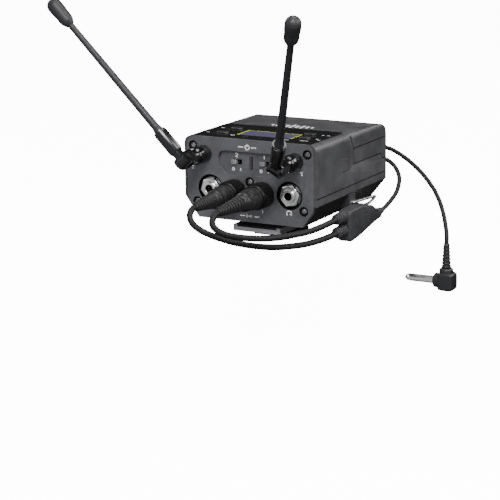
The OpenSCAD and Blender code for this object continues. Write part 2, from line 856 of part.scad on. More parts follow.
antenna_pin(antenna_x, right_swivel);  // antenna_pin_right
antenna_sleeve(-antenna_x, -left_swivel, left_tilt);  // antenna_sleeve_left
antenna_sleeve(antenna_x, right_swivel, right_tilt);  // antenna_sleeve_right
antenna_mast(-antenna_x, -left_swivel, left_tilt);  // antenna_mast_left
antenna_mast(antenna_x, right_swivel, right_tilt);  // antenna_mast_right
antenna_tip(-antenna_x, -left_swivel, left_tilt);  // antenna_tip_left
antenna_tip(antenna_x, right_swivel, right_tilt);  // antenna_tip_right
belt_clip();
adapter_plate();
adapter_block();
shoe_foot();
adapter_screws();
y_block();
cord(lead_1_route, lead_r);  // output_lead_1
cord(lead_2_route, lead_r);  // output_lead_2
cord(tail_route, tail_r);  // tail_cord
camera_plug();
camera_plug_relief();
camera_plug_pin();
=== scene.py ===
"""Looks of a two-channel wireless receiver unit that stands on an accessory shoe.

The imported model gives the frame. Every length in the classes below is in millimetres, measured
from the middle of the front panel's lower edge, and `at` turns such a place into metres there.
"""

import logging
import math
from collections.abc import Callable, Iterable, Sequence
from dataclasses import dataclass
from enum import Enum
from functools import wraps

import bmesh
import bpy
from mathutils import Matrix, Vector


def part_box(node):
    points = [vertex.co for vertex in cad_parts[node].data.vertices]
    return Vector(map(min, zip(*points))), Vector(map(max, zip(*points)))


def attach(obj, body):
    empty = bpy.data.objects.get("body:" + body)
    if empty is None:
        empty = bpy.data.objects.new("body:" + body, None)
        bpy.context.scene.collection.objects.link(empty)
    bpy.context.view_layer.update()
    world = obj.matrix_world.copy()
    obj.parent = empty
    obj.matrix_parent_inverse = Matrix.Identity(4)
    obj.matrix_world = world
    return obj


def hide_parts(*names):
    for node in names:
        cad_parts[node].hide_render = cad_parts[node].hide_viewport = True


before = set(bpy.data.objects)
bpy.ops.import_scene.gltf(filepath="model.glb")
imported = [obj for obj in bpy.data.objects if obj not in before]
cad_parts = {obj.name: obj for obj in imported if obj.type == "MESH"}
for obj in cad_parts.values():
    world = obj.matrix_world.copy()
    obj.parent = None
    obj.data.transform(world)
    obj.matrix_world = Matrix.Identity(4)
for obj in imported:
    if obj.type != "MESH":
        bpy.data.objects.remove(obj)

LOG = logging.getLogger("receiver")
MM = 0.001
EDGE_BAND = "edge_band"
CASE_CORNER = Vector(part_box("front_panel")[0])

# Metres within which two points of a new shell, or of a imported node's loose triangles, are one.
SHELL_WELD = 1e-7
NODE_WELD = 2e-6
# Degrees past which an edge stays sharp, and past which a bevel rounds it.
SHARP_EDGE = 38.0
MACHINED_EDGE = 34.0
MOULDED_EDGE = 50.0
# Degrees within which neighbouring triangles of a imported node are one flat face.
FLAT_ENOUGH = 1.0

Place = tuple[float, float, float]
Point = tuple[float, float]
Stroke = Sequence[Point]
Colour = tuple[int, int, int]


def at(x: float, y: float, z: float) -> Vector:
    """Turn a place on the case into metres in the model's frame.

    Args:
        x: Millimetres to the right of the case's middle.
        y: Millimetres behind the front panel's face.
        z: Millimetres above the case's lower edge.

    Returns:
        The place in metres.
    """
    return Vector((x * MM, CASE_CORNER.y + y * MM, CASE_CORNER.z + z * MM))


def middle(node: str) -> Vector:
    """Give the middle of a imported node's box, in metres."""
    low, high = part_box(node)
    return (Vector(low) + Vector(high)) / 2


def shade(red: int, green: int, blue: int) -> tuple[float, float, float, float]:
    """Turn an 8-bit screen colour into the linear colour that shaders take.

    Args:
        red: Red, 0 to 255.
        green: Green, 0 to 255.
        blue: Blue, 0 to 255.

    Returns:
        Linear red, green, blue and a full alpha.
    """
    def linear(value: int) -> float:
        """Undo the screen's transfer curve for one channel."""
        share = value / 255
        return share / 12.92 if share <= 0.04045 else ((share + 0.055) / 1.055) ** 2.4
    return (linear(red), linear(green), linear(blue), 1.0)


# ---------------------------------------------------------------- node trees


class Sheet:
    """A node tree while it is drawn: it places nodes and joins their sockets."""

    def __init__(self, tree: bpy.types.NodeTree) -> None:
        """Start on an empty tree.

        Args:
            tree: The tree to draw on.
        """
        self.tree = tree
        self.tree.nodes.clear()

    def add(self, kind: str, inputs: dict | None = None, **settings: object) -> bpy.types.Node:
        """Place one node.

        Args:
            kind: Blender's name for the node's type.
            inputs: What goes into each socket, by name or number: a socket to link, or a value.
            settings: The node's own properties.

        Returns:
            The node.
        """
        node = self.tree.nodes.new(kind)
        node.location = (180 * len(self.tree.nodes), 0)
        for name, value in settings.items():
            setattr(node, name, value)
        for socket, value in (inputs or {}).items():
            if isinstance(value, bpy.types.NodeSocket):
                self.tree.links.new(value, node.inputs[socket])
            else:
                node.inputs[socket].default_value = value
        return node

    def maths(self, operation: str, first: object, second: object = 0.0) -> bpy.types.NodeSocket:
        """Place a Math node in a shader or geometry tree.

        Args:
            operation: Blender's name for the sum.
            first: First socket or number.
            second: Second socket or number.

        Returns:
            The result's socket.
        """
        return self.add("ShaderNodeMath", {0: first, 1: second}, operation=operation).outputs[0]


def socket_key(tree: bpy.types.NodeTree, name: str) -> str:
    """Find the identifier of a tree's named input.

    Args:
        tree: The node group.
        name: The input's name.

    Returns:
        The identifier that a modifier stores the input under.
    """
    for item in tree.interface.items_tree:
        if item.item_type == "SOCKET" and item.in_out == "INPUT" and item.name == name:
            return item.identifier
    raise KeyError(name)


def group(
    name: str,
    kind: str,
    inputs: Sequence[tuple[str, str, object]],
    outputs: Sequence[tuple[str, str]],
) -> tuple[Sheet, bpy.types.Node, bpy.types.Node]:
    """Start a node group with named sockets.

    Args:
        name: The group's name.
        kind: ShaderNodeTree or GeometryNodeTree.
        inputs: Name, socket type and default of each input.
        outputs: Name and socket type of each output.

    Returns:
        The sheet, its input node and its output node.
    """
    tree = bpy.data.node_groups.new(name, kind)
    for title, socket, default in inputs:
        made = tree.interface.new_socket(title, in_out="INPUT", socket_type=socket)
        if default is not None:
            made.default_value = default
    for title, socket in outputs:
        tree.interface.new_socket(title, in_out="OUTPUT", socket_type=socket)
    sheet = Sheet(tree)
    return sheet, sheet.add("NodeGroupInput"), sheet.add("NodeGroupOutput")


def made_once(make: Callable[[], bpy.types.NodeTree]) -> Callable[[], bpy.types.NodeTree]:
    """Let a tree be made the first time it is asked for, and fetched after that.

    Args:
        make: Makes the tree, which is named as this function is.

    Returns:
        A function that gives the tree.
    """
    @wraps(make)
    def fetch() -> bpy.types.NodeTree:
        """Fetch the tree, or make it."""
        return bpy.data.node_groups.get(make.__name__) or make()
    return fetch


@made_once
def moulded_grain() -> bpy.types.NodeTree:
    """Make the group for fine surface grain and slow uneven patches.

    Returns:
        A group that puts out Height, Patches and Specks, each from 0 to 1.
    """
    sheet, given, out = group(
        "moulded_grain", "ShaderNodeTree",
        [("Grain Size", "NodeSocketFloat", 0.4), ("Patch Size", "NodeSocketFloat", 8.0),
         ("Stretch", "NodeSocketVector", (1.0, 1.0, 1.0))],
        [("Height", "NodeSocketFloat"), ("Patches", "NodeSocketFloat"),
         ("Specks", "NodeSocketFloat")],
    )
    place = sheet.add("ShaderNodeTexCoord").outputs["Object"]
    along = sheet.add("ShaderNodeMapping", {"Vector": place, "Scale": given.outputs["Stretch"]})
    fine = sheet.maths("DIVIDE", 1 / MM, given.outputs["Grain Size"])
    slow = sheet.maths("DIVIDE", 1 / MM, given.outputs["Patch Size"])
    grain = sheet.add("ShaderNodeTexNoise", {"Vector": along.outputs[0], "Scale": fine,
                                             "Detail": 3.0, "Roughness": 0.6})
    patch = sheet.add("ShaderNodeTexNoise", {"Vector": place, "Scale": slow, "Detail": 4.0,
                                             "Roughness": 0.55})
    cells = sheet.add("ShaderNodeTexVoronoi", {"Vector": place, "Scale": fine})
    patches = sheet.add("ShaderNodeMapRange", {"Value": patch.outputs[0], "From Min": 0.3,
                                               "From Max": 0.7})
    specks = sheet.add("ShaderNodeMapRange", {"Value": cells.outputs["Distance"],
                                              "From Min": 0.16, "From Max": 0.04})
    sheet.tree.links.new(grain.outputs[0], out.inputs["Height"])
    sheet.tree.links.new(patches.outputs[0], out.inputs["Patches"])
    sheet.tree.links.new(specks.outputs[0], out.inputs["Specks"])
    return sheet.tree


@made_once
def rubbed_edges() -> bpy.types.NodeTree:
    """Make the group that finds the broken edges where a finish is rubbed; the same mask paints
    the glint on the screw heads' rims.

    Returns:
        A group that puts out Mask, from 0 to 1.
    """
    sheet, given, out = group(
        "rubbed_edges", "ShaderNodeTree",
        [("Amount", "NodeSocketFloat", 0.3), ("Break Size", "NodeSocketFloat", 2.0)],
        [("Mask", "NodeSocketFloat")],
    )
    edge = sheet.add("ShaderNodeAttribute", attribute_name=EDGE_BAND).outputs["Fac"]
    place = sheet.add("ShaderNodeTexCoord").outputs["Object"]
    scale = sheet.maths("DIVIDE", 1 / MM, given.outputs["Break Size"])
    breaks = sheet.add("ShaderNodeTexNoise", {"Vector": place, "Scale": scale, "Detail": 5.0})
    broken = sheet.add("ShaderNodeMapRange", {"Value": breaks.outputs[0], "From Min": 0.35,
                                              "From Max": 0.65})
    both = sheet.maths("MULTIPLY", edge, broken.outputs[0])
    mask = sheet.maths("MULTIPLY", both, given.outputs["Amount"])
    sheet.tree.links.new(mask, out.inputs["Mask"])
    return sheet.tree


@made_once
def settled_dust() -> bpy.types.NodeTree:
    """Make the group for the thin dust on faces that look upward.

    Returns:
        A group that puts out Mask, from 0 to 1.
    """
    sheet, given, out = group(
        "settled_dust", "ShaderNodeTree",
        [("Cover", "NodeSocketFloat", 0.1)],
        [("Mask", "NodeSocketFloat")],
    )
    normal = sheet.add("ShaderNodeNewGeometry").outputs["Normal"]
    upward = sheet.add("ShaderNodeSeparateXYZ", {0: normal}).outputs[2]
    place = sheet.add("ShaderNodeTexCoord").outputs["Object"]
    cloud = sheet.add("ShaderNodeTexNoise", {"Vector": place, "Scale": 260.0, "Detail": 8.0,
                                             "Roughness": 0.7})
    lying = sheet.add("ShaderNodeMapRange", {"Value": upward, "From Min": 0.2, "From Max": 0.9})
    thick = sheet.add("ShaderNodeMapRange", {"Value": cloud.outputs[0], "From Min": 0.42,
                                             "From Max": 0.75})
    both = sheet.maths("MULTIPLY", lying.outputs[0], thick.outputs[0])
    mask = sheet.maths("MULTIPLY", both, given.outputs["Cover"])
    sheet.tree.links.new(mask, out.inputs["Mask"])
    return sheet.tree


# ------------------------------------------------------------------ finishes


@dataclass(frozen=True)
class Finish:
    """One surface finish, with what makes it uneven."""

    name: str
    colour: Colour
    roughness: float
    metallic: float = 0.0
    tint_spread: float = 0.18
    rough_spread: float = 0.08
    grain_size: float = 0.45
    grain_depth: float = 0.010
    patch_size: float = 9.0
    stretch: Place = (1.0, 1.0, 1.0)
    specks: float = 0.0
    rub: float = 0.0
    rub_colour: Colour = (150, 150, 152)
    dust: float = 0.0
    coat: float = 0.0
    coat_roughness: float = 0.08
    specular: float = 0.5
    slot: str = ""
    speck_gain: float = 2.6
    dust_colour: Colour = (176, 174, 170)

    def material(self) -> bpy.types.Material:
        """Build the finish's material the first time, and fetch it after that.

        Returns:
            The material.
        """
        title = f"{self.name}_finish"
        if title in bpy.data.materials:
            return bpy.data.materials[title]
        made = bpy.data.materials.new(title)
        made.use_nodes = True
        sheet = Sheet(made.node_tree)
        grain = sheet.add("ShaderNodeGroup", node_tree=moulded_grain())
        grain.inputs["Grain Size"].default_value = self.grain_size
        grain.inputs["Patch Size"].default_value = self.patch_size
        grain.inputs["Stretch"].default_value = self.stretch
        colour = self.tinted(sheet, grain)
        rough = sheet.add("ShaderNodeMapRange", {
            "Value": grain.outputs["Patches"],
            "To Min": max(0.02, self.roughness - self.rough_spread),
            "To Max": min(1.0, self.roughness + self.rough_spread)})
        bump = sheet.add("ShaderNodeBump", {"Height": grain.outputs["Height"], "Strength": 1.0,
                                            "Distance": self.grain_depth * MM})
        shader = sheet.add("ShaderNodeBsdfPrincipled", {
            "Base Color": colour, "Roughness": rough.outputs[0], "Metallic": self.metallic,
            "Normal": bump.outputs[0], "Coat Weight": self.coat,
            "Coat Roughness": self.coat_roughness, "Specular IOR Level": self.specular})
        sheet.add("ShaderNodeOutputMaterial", {0: shader.outputs[0]})
        return made

    def tinted(self, sheet: Sheet, grain: bpy.types.Node) -> bpy.types.NodeSocket:
        """Draw the finish's colour, with its patches, specks, rubbed edges that also carry
        painted glints, and dust.

        Args:
            sheet: The material's tree.
            grain: The placed grain group.

        Returns:
            The socket that holds the colour.
        """
        base = Vector(shade(*self.colour)[:3])
        dark = (*(base * (1 - self.tint_spread)), 1.0)
        light = (*(base * (1 + self.tint_spread)), 1.0)
        colour = mixed(sheet, grain.outputs["Patches"], dark, light)
        if self.specks:
            amount = sheet.maths("MULTIPLY", grain.outputs["Specks"], self.specks)
            colour = mixed(sheet, amount, colour, (*(base * self.speck_gain), 1.0))
        # Lighten the bevelled edge bands: worn paint on most finishes, and a painted glint on the
        # screw steel.
        if self.rub:
            edges = sheet.add("ShaderNodeGroup", node_tree=rubbed_edges())
            edges.inputs["Amount"].default_value = self.rub
            colour = mixed(sheet, edges.outputs["Mask"], colour, shade(*self.rub_colour))
        if self.dust:
            lying = sheet.add("ShaderNodeGroup", node_tree=settled_dust())
            lying.inputs["Cover"].default_value = self.dust
            colour = mixed(sheet, lying.outputs["Mask"], colour, shade(*self.dust_colour))
        return colour


def mixed(sheet: Sheet, share: object, first: object, second: object) -> bpy.types.NodeSocket:
    """Place a node that blends two colours.

    Args:
        sheet: The tree.
        share: How much of the second colour, a socket or a number.
        first: First colour or socket.
        second: Second colour or socket.

    Returns:
        The blended colour's socket.
    """
    node = sheet.add("ShaderNodeMix", {0: share, 6: first, 7: second}, data_type="RGBA")
    return node.outputs[2]


PANEL_PAINT = Finish("panel_paint", (94, 94, 97), 0.46, metallic=0.45, specks=0.35,
                     grain_size=0.30, grain_depth=0.008, rub=0.25, dust=0.02)
CASE_PAINT = Finish("case_paint", (72, 72, 74), 0.44, metallic=0.3, specks=0.20,
                    grain_size=0.30, grain_depth=0.008, rub=0.12, dust=0.02)
LID_PAINT = Finish("lid_paint", (70, 70, 72), 0.42, metallic=0.3, specks=0.20,
                   grain_size=0.30, grain_depth=0.008, rub=0.12, dust=0.02)
UNDERSIDE_BLACK = Finish("cover_black", (24, 24, 25), 0.55, grain_depth=0.016, rub=0.25,
                         rub_colour=(84, 84, 86))
DISPLAY_GLOSS = Finish("display_gloss", (9, 9, 10), 0.12, rough_spread=0.04, grain_depth=0.001,
                       patch_size=22.0, coat=0.6, coat_roughness=0.04, dust=0.008)
LCD_SURROUND = Finish("lcd_yellow", (204, 212, 20), 0.42, tint_spread=0.08,
                      grain_depth=0.004)
BUTTON_RUBBER = Finish("button_rubber", (26, 26, 28), 0.40, grain_depth=0.010, rub=0.3,
                       rub_colour=(90, 90, 92), dust=0.015)
KNOB_GREY = Finish("knob_grey", (122, 122, 124), 0.42, rub=0.3, rub_colour=(170, 170, 170))
CHROME = Finish("chrome", (238, 238, 236), 0.2, metallic=1.0, tint_spread=0.05,
                rough_spread=0.05, grain_depth=0.002, patch_size=2.4)
STEEL = Finish("steel", (168, 168, 170), 0.26, metallic=1.0, tint_spread=0.14,
               rough_spread=0.10, grain_depth=0.006, patch_size=1.6)
WIRE_STEEL = Finish("wire_steel", (225, 225, 224), 0.36, metallic=1.0, tint_spread=0.08,
                    rough_spread=0.07, grain_depth=0.004, patch_size=3.0,
                    stretch=(1.0, 0.12, 1.0), slot="steel")
PIN_STEEL = Finish("pin_steel", (70, 70, 72), 0.34, metallic=1.0, grain_depth=0.006,
                   patch_size=0.9, slot="steel")
# Screw steel: its strong near-white rub is a painted glint on the heads' bevelled rims.
SCREW_STEEL = Finish("screw_steel", (165, 165, 167), 0.38, metallic=1.0, rub=0.8,
                     rub_colour=(220, 220, 220), grain_depth=0.006, patch_size=0.9,
                     slot="steel")
COLLAR_BLACK = Finish("collar_black", (9, 9, 10), 0.40, grain_depth=0.006, specular=0.3)
BRACKET_GREY = Finish("bracket_grey", (52, 52, 54), 0.5, grain_depth=0.010,
                      slot="cover_black")
# Near-black for the seam gaps, and for the rings of painted shade round the screws and jack nuts.
SEAM_AND_SHADE_BLACK = Finish("seam_black", (8, 8, 9), 0.7, grain_depth=0.004, specular=0.1,
                    slot="cover_black")
PLUG_RUBBER = Finish("plug_black", (31, 31, 32), 0.42, tint_spread=0.1, rough_spread=0.03,
                     grain_size=0.35, grain_depth=0.005, specular=0.4, dust=0.006)
BLOCK_RUBBER = Finish("block_rubber", (44, 44, 46), 0.56, grain_size=0.35, grain_depth=0.012,
                      specular=0.4, slot="plug_black")
ANTENNA_GLOSS = Finish("antenna_gloss", (12, 12, 13), 0.20, rough_spread=0.06,
                       grain_depth=0.002, coat=0.35, rub=0.12, rub_colour=(110, 110, 112))
MAST_RUBBER = Finish("mast_rubber", (38, 38, 40), 0.52, grain_size=0.35, grain_depth=0.018,
                     specular=0.4, dust=0.015)
FOOT_METAL = Finish("foot_metal", (52, 52, 54), 0.36, metallic=0.7, rub=0.9,
                    rub_colour=(190, 190, 190), grain_depth=0.008)
CORD_RUBBER = Finish("cord_rubber", (15, 15, 16), 0.62, rough_spread=0.08, grain_size=0.5,
                     specular=0.3, grain_depth=0.012, patch_size=6.0, dust=0.008)
LABEL_INK = Finish("label_ink", (232, 232, 232), 0.55, tint_spread=0.10, grain_depth=0.004,
                   slot="knob_grey")
LENS_SMOKE = Finish("lens_smoke", (34, 32, 34), 0.14, coat=0.5, grain_depth=0.001,
                    slot="display_gloss")
SOCKET_BLACK = Finish("socket_black", (14, 14, 15), 0.50, grain_depth=0.008,
                      slot="cover_black")
BOARD_GREEN = Finish("board_green", (22, 74, 48), 0.40, specks=0.5, grain_size=0.9,
                     grain_depth=0.020, patch_size=3.0, coat=0.3)
CAN_TIN = Finish("can_steel", (172, 172, 168), 0.34, metallic=1.0, grain_depth=0.008)
TRAY_BLACK = Finish("tray_black", (30, 30, 32), 0.58, grain_depth=0.016, dust=0.05,
                    slot="cover_black")
ADAPTER_GREY = Finish("adapter_grey", (165, 165, 168), 0.44, metallic=0.4, rub=0.4,
                      rub_colour=(170, 170, 172), grain_depth=0.010, slot="cover_black")
CHIP_BLACK = Finish("chip_black", (20, 20, 22), 0.60, grain_depth=0.010,
                    slot="cover_black")


@dataclass(frozen=True)
class LcdGlass:
    """The unlit liquid-crystal window: violet-grey with faint unlit segments."""

    name: str = "lcd_glass"
    ground: Colour = (92, 88, 116)
    segment: Colour = (76, 73, 98)
    cell: float = 0.62
    gap_share: float = 0.14
    roughness: float = 0.16

    def material(self) -> bpy.types.Material:
        """Build the window's material.

        Returns:
            The material.
        """
        made = bpy.data.materials.new(self.name)
        made.use_nodes = True
        sheet = Sheet(made.node_tree)
        place = sheet.add("ShaderNodeTexCoord").outputs["Object"]
        axes = sheet.add("ShaderNodeSeparateXYZ", {0: place})
        across = sheet.maths("PINGPONG", axes.outputs[0], self.cell * MM)
        along = sheet.maths("PINGPONG", axes.outputs[1], self.cell * MM)
        gap = self.gap_share * self.cell * MM
        lit = sheet.maths("MULTIPLY", sheet.maths("GREATER_THAN", across, gap),
                          sheet.maths("GREATER_THAN", along, gap))
        cloud = sheet.add("ShaderNodeTexNoise", {"Vector": place, "Scale": 240.0, "Detail": 3.0})
        share = sheet.maths("MULTIPLY", lit, cloud.outputs[0])
        colour = mixed(sheet, share, shade(*self.ground), shade(*self.segment))
        rough = sheet.add("ShaderNodeMapRange", {"Value": cloud.outputs[0],
                                                 "To Min": self.roughness - 0.05,
                                                 "To Max": self.roughness + 0.08})
        shader = sheet.add("ShaderNodeBsdfPrincipled", {
            "Base Color": colour, "Roughness": rough.outputs[0], "Coat Weight": 0.7,
            "Coat Roughness": 0.05})
        sheet.add("ShaderNodeOutputMaterial", {0: shader.outputs[0]})
        return made


@dataclass(frozen=True)
class CellWrap:
    """The printed sleeve of a dry cell: a plain dark sleeve with one bright band."""

    name: str = "cell_wrap"
    sleeve: Colour = (40, 44, 52)
    band: Colour = (196, 160, 84)
    scuff: Colour = (120, 120, 120)
    scuffing: float = 0.25
    band_start: float = 12.0
    roughness: float = 0.30

    def material(self) -> bpy.types.Material:
        """Build the sleeve's material.

        Returns:
            The material.
        """
        made = bpy.data.materials.new(self.name)
        made.use_nodes = True
        sheet = Sheet(made.node_tree)
        place = sheet.add("ShaderNodeTexCoord").outputs["Object"]
        across = sheet.add("ShaderNodeSeparateXYZ", {0: place}).outputs[0]
        cloud = sheet.add("ShaderNodeTexNoise", {"Vector": place, "Scale": 320.0, "Detail": 4.0})
        banded = sheet.maths("GREATER_THAN", across, self.band_start * MM)
        colour = mixed(sheet, banded, shade(*self.sleeve), shade(*self.band))
        worn = sheet.maths("MULTIPLY", cloud.outputs[0], self.scuffing)
        colour = mixed(sheet, worn, colour, shade(*self.scuff))
        rough = sheet.add("ShaderNodeMapRange", {"Value": cloud.outputs[0],
                                                 "To Min": self.roughness - 0.08,
                                                 "To Max": self.roughness + 0.12})
        shader = sheet.add("ShaderNodeBsdfPrincipled", {
            "Base Color": colour, "Roughness": rough.outputs[0], "Metallic": banded})
        sheet.add("ShaderNodeOutputMaterial", {0: shader.outputs[0]})
        return made


AnyFinish = Finish | LcdGlass | CellWrap


# --------------------------------------------------------------- mesh making


def smoothed(bm: bmesh.types.BMesh, name: str, sharp: float = SHARP_EDGE) -> bpy.types.Mesh:
    """Turn a bmesh into a smooth-shaded mesh that keeps its hard corners.

    Args:
        bm: The mesh data, which is freed.
        name: The new mesh's name.
        sharp: Degrees past which an edge stays sharp.

    Returns:
        The mesh.
    """
    mesh = bpy.data.meshes.new(name)
    bm.to_mesh(mesh)
    bm.free()
    mesh.shade_smooth()
    mesh.set_sharp_from_angle(angle=math.radians(sharp))
    return mesh


def outward(bm: bmesh.types.BMesh) -> None:
    """Weld a closed shell's seams and turn its faces outwards.

    Args:
        bm: The mesh data.
    """
    bmesh.ops.remove_doubles(bm, verts=bm.verts, dist=SHELL_WELD)
    bmesh.ops.recalc_face_normals(bm, faces=bm.faces)


def fillet(points: Sequence[Point], radius: float, steps: int = 3,
           closed: bool = False) -> list[Point]:
    """Round the corners of an outline.

    Args:
        points: The outline's corners.
        radius: How far from a corner its curve starts, at most.
        steps: Points along each curve, less one.
        closed: Whether the last point joins the first.

    Returns:
        The rounded outline.
    """
    rounded: list[Point] = []
    count = len(points)
    for index, corner in enumerate(points):
        if not closed and index in (0, count - 1):
            rounded.append(corner)
            continue
        here = Vector(corner)
        before = Vector(points[index - 1]) - here
        after = Vector(points[(index + 1) % count]) - here
        reach = min(radius, before.length * 0.48, after.length * 0.48)
        start = here + before.normalized() * reach
        end = here + after.normalized() * reach
        for step in range(steps + 1):
            t = step / steps
            point = start * (1 - t) ** 2 + here * 2 * t * (1 - t) + end * t ** 2
            rounded.append((point.x, point.y))
    return rounded


def turned(bm: bmesh.types.BMesh, profile: Sequence[Point], base: Vector, axis: Vector,
           sides: int = 48, closed: bool = False) -> None:
    """Add a turned solid to a mesh.

    Args:
        bm: The mesh data.
        profile: Radius and height pairs in millimetres, from one end to the other.
        base: Where height 0 is, in metres.
        axis: Which way height grows.
        sides: Facets round the axis.
        closed: Whether the profile is a loop clear of the axis, as on a ring.
    """
    up = axis.normalized()
    side = up.orthogonal().normalized()
    other = up.cross(side)
    rings = []
    for radius, height in profile:
        centre = base + up * (height * MM)
        if radius < 1e-6:
            rings.append([bm.verts.new(centre)])
            continue
        rings.append([
            bm.verts.new(centre + (side * math.cos(turn) + other * math.sin(turn)) * radius * MM)
            for turn in (math.tau * step / sides for step in range(sides))])
    pairs = list(zip(rings, rings[1:]))
    if closed:
        pairs.append((rings[-1], rings[0]))
    for lower, upper in pairs:
        for step in range(sides):
            after = (step + 1) % sides
            corners = [lower[step % len(lower)], lower[after % len(lower)],
                       upper[after % len(upper)], upper[step % len(upper)]]
            face = list(dict.fromkeys(corners))
            if len(face) > 2:
                bm.faces.new(face)


def turned_mesh(name: str, profile: Sequence[Point], base: Vector, axis: Vector,
                sides: int = 48) -> bpy.types.Mesh:
    """Make one turned solid.

    Args:
        name: The mesh's name.
        profile: Radius and height pairs in millimetres.
        base: Where height 0 is, in metres.
        axis: Which way height grows.
        sides: Facets round the axis.

    Returns:
        The mesh.
    """
    bm = bmesh.new()
    turned(bm, profile, base, axis, sides)
    outward(bm)
    return smoothed(bm, name)


def prism(bm: bmesh.types.BMesh, outline: Sequence[Point], start: float, end: float,
          place: Callable[[float, float, float], Vector]) -> None:
    """Add a solid of one outline between two depths.

    Args:
        bm: The mesh data.
        outline: The corners in millimetres.
        start: The first depth in millimetres.
        end: The last depth in millimetres.
        place: Turns an outline point and a depth into metres.
    """
    near = [bm.verts.new(place(x, y, start)) for x, y in outline]
    far = [bm.verts.new(place(x, y, end)) for x, y in outline]
    bm.faces.new(near)
    bm.faces.new(list(reversed(far)))
    for index in range(len(outline)):
        after = (index + 1) % len(outline)
        bm.faces.new((near[index], far[index], far[after], near[after]))


def baked(obj: bpy.types.Object, sharp: float = SHARP_EDGE) -> bpy.types.Mesh:
    """Take an object's finished mesh and drop the object and its modifiers.

    Args:
        obj: The object.
        sharp: Degrees past which an edge stays sharp, or 0 to keep the shading it has.

    Returns:
        The plain mesh.
    """
    layers = bpy.context.evaluated_depsgraph_get()
    mesh = bpy.data.meshes.new_from_object(obj.evaluated_get(layers),
                                           preserve_all_data_layers=True, depsgraph=layers)
    bpy.data.objects.remove(obj)
    if [paint.name for paint in mesh.materials if paint] == ["flat", "band"]:
        mark_bands(mesh)
    mesh.materials.clear()
    if sharp:
        mesh.shade_smooth()
        mesh.set_sharp_from_angle(angle=math.radians(sharp))
    return mesh


def loose(mesh: bpy.types.Mesh) -> bpy.types.Object:
    """Put a mesh in the scene as an unfinished object.

    Args:
        mesh: The mesh.

    Returns:
        The object.
    """
    obj = bpy.data.objects.new(mesh.name, mesh)
    bpy.context.scene.collection.objects.link(obj)
    return obj


def fitted(mesh: bpy.types.Mesh, name: str, body: str, finish: AnyFinish,
           replaces: Sequence[str] = ()) -> bpy.types.Object:
    """Dress a mesh as a finished piece and fix it to its body.

    Args:
        mesh: The mesh, in place.
        name: The piece's name.
        body: The body it moves with.
        finish: Its finish.
        replaces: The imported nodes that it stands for.

    Returns:
        The piece.
    """
    mesh.materials.clear()
    mesh.materials.append(finish.material())
    piece = loose(mesh)
    piece.name = name
    mesh.name = name
    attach(piece, body)
    if replaces:
        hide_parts(*replaces)
    LOG.info("%s: %d faces on %s", name, len(mesh.polygons), body)
    return piece


def bevelled(obj: bpy.types.Object, width: float, steps: int = 4,
             edge: float = MOULDED_EDGE) -> bpy.types.BevelModifier:
    """Round an object's edges with a bevel that `baked` applies.

    Args:
        obj: The object.
        width: The bevel's width in millimetres.
        steps: The bevel's segments.
        edge: Degrees past which an edge is rounded.

    Returns:
        The bevel.
    """
    bevel = obj.modifiers.new("edges", "BEVEL")
    bevel.width = width * MM
    bevel.segments = steps
    bevel.limit_method = "ANGLE"
    bevel.angle_limit = math.radians(edge)
    return bevel


def cut_with(obj: bpy.types.Object, tool: bpy.types.Object, operation: str) -> None:
    """Cut an object with another by a boolean that `baked` applies.

    Args:
        obj: The object.
        tool: The other object, which is dropped after `baked`.
        operation: DIFFERENCE to take the tool away, INTERSECT to keep what both share.
    """
    cut = obj.modifiers.new("cut", "BOOLEAN")
    cut.object = tool
    cut.operation = operation


def softened(nodes: Sequence[str], width: float, steps: int = 2) -> bpy.types.Mesh:
    """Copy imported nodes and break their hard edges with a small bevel.

    Args:
        nodes: The nodes to copy into one mesh.
        width: The bevel's width in millimetres.
        steps: The bevel's segments.

    Returns:
        The mesh.
    """
    bm = bmesh.new()
    for node in nodes:
        bm.from_mesh(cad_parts[node].data)
    bmesh.ops.remove_doubles(bm, verts=bm.verts, dist=NODE_WELD)
    bmesh.ops.dissolve_limit(bm, angle_limit=math.radians(FLAT_ENOUGH), verts=bm.verts,
                             edges=bm.edges)
    obj = loose(smoothed(bm, nodes[0] + "_soft"))
    for slot in ("flat", "band"):
        obj.data.materials.append(bpy.data.materials.get(slot) or bpy.data.materials.new(slot))
    bevel = bevelled(obj, width, steps, MACHINED_EDGE)
    bevel.material = 1
    bevel.use_clamp_overlap = True
    bevel.harden_normals = True
    bevel.miter_outer = "MITER_ARC"
    return baked(obj, sharp=0)


def mark_bands(mesh: bpy.types.Mesh) -> None:
    """Keep, as a face attribute, which faces a bevel made, for the rubbed edges and their painted
    glints.

    Args:
        mesh: A mesh whose bevelled faces have material index 1.
    """
    band = mesh.attributes.new(EDGE_BAND, "FLOAT", "FACE")
    band.data.foreach_set("value", [float(face.material_index == 1) for face in mesh.polygons])
    for face in mesh.polygons:
        face.material_index = 0


def dressed(node: str, finish: AnyFinish) -> None:
    """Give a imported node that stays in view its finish.

    Args:
        node: The node's name.
        finish: The finish.
    """
    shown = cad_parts[node]
    if not shown.material_slots:
        shown.data.materials.append(finish.material())
    for slot in shown.material_slots:
        slot.link = "OBJECT"
        slot.material = finish.material()
    LOG.info("%s: packed node dressed in %s", node, finish.name)


# ------------------------------------------------------------ geometry nodes


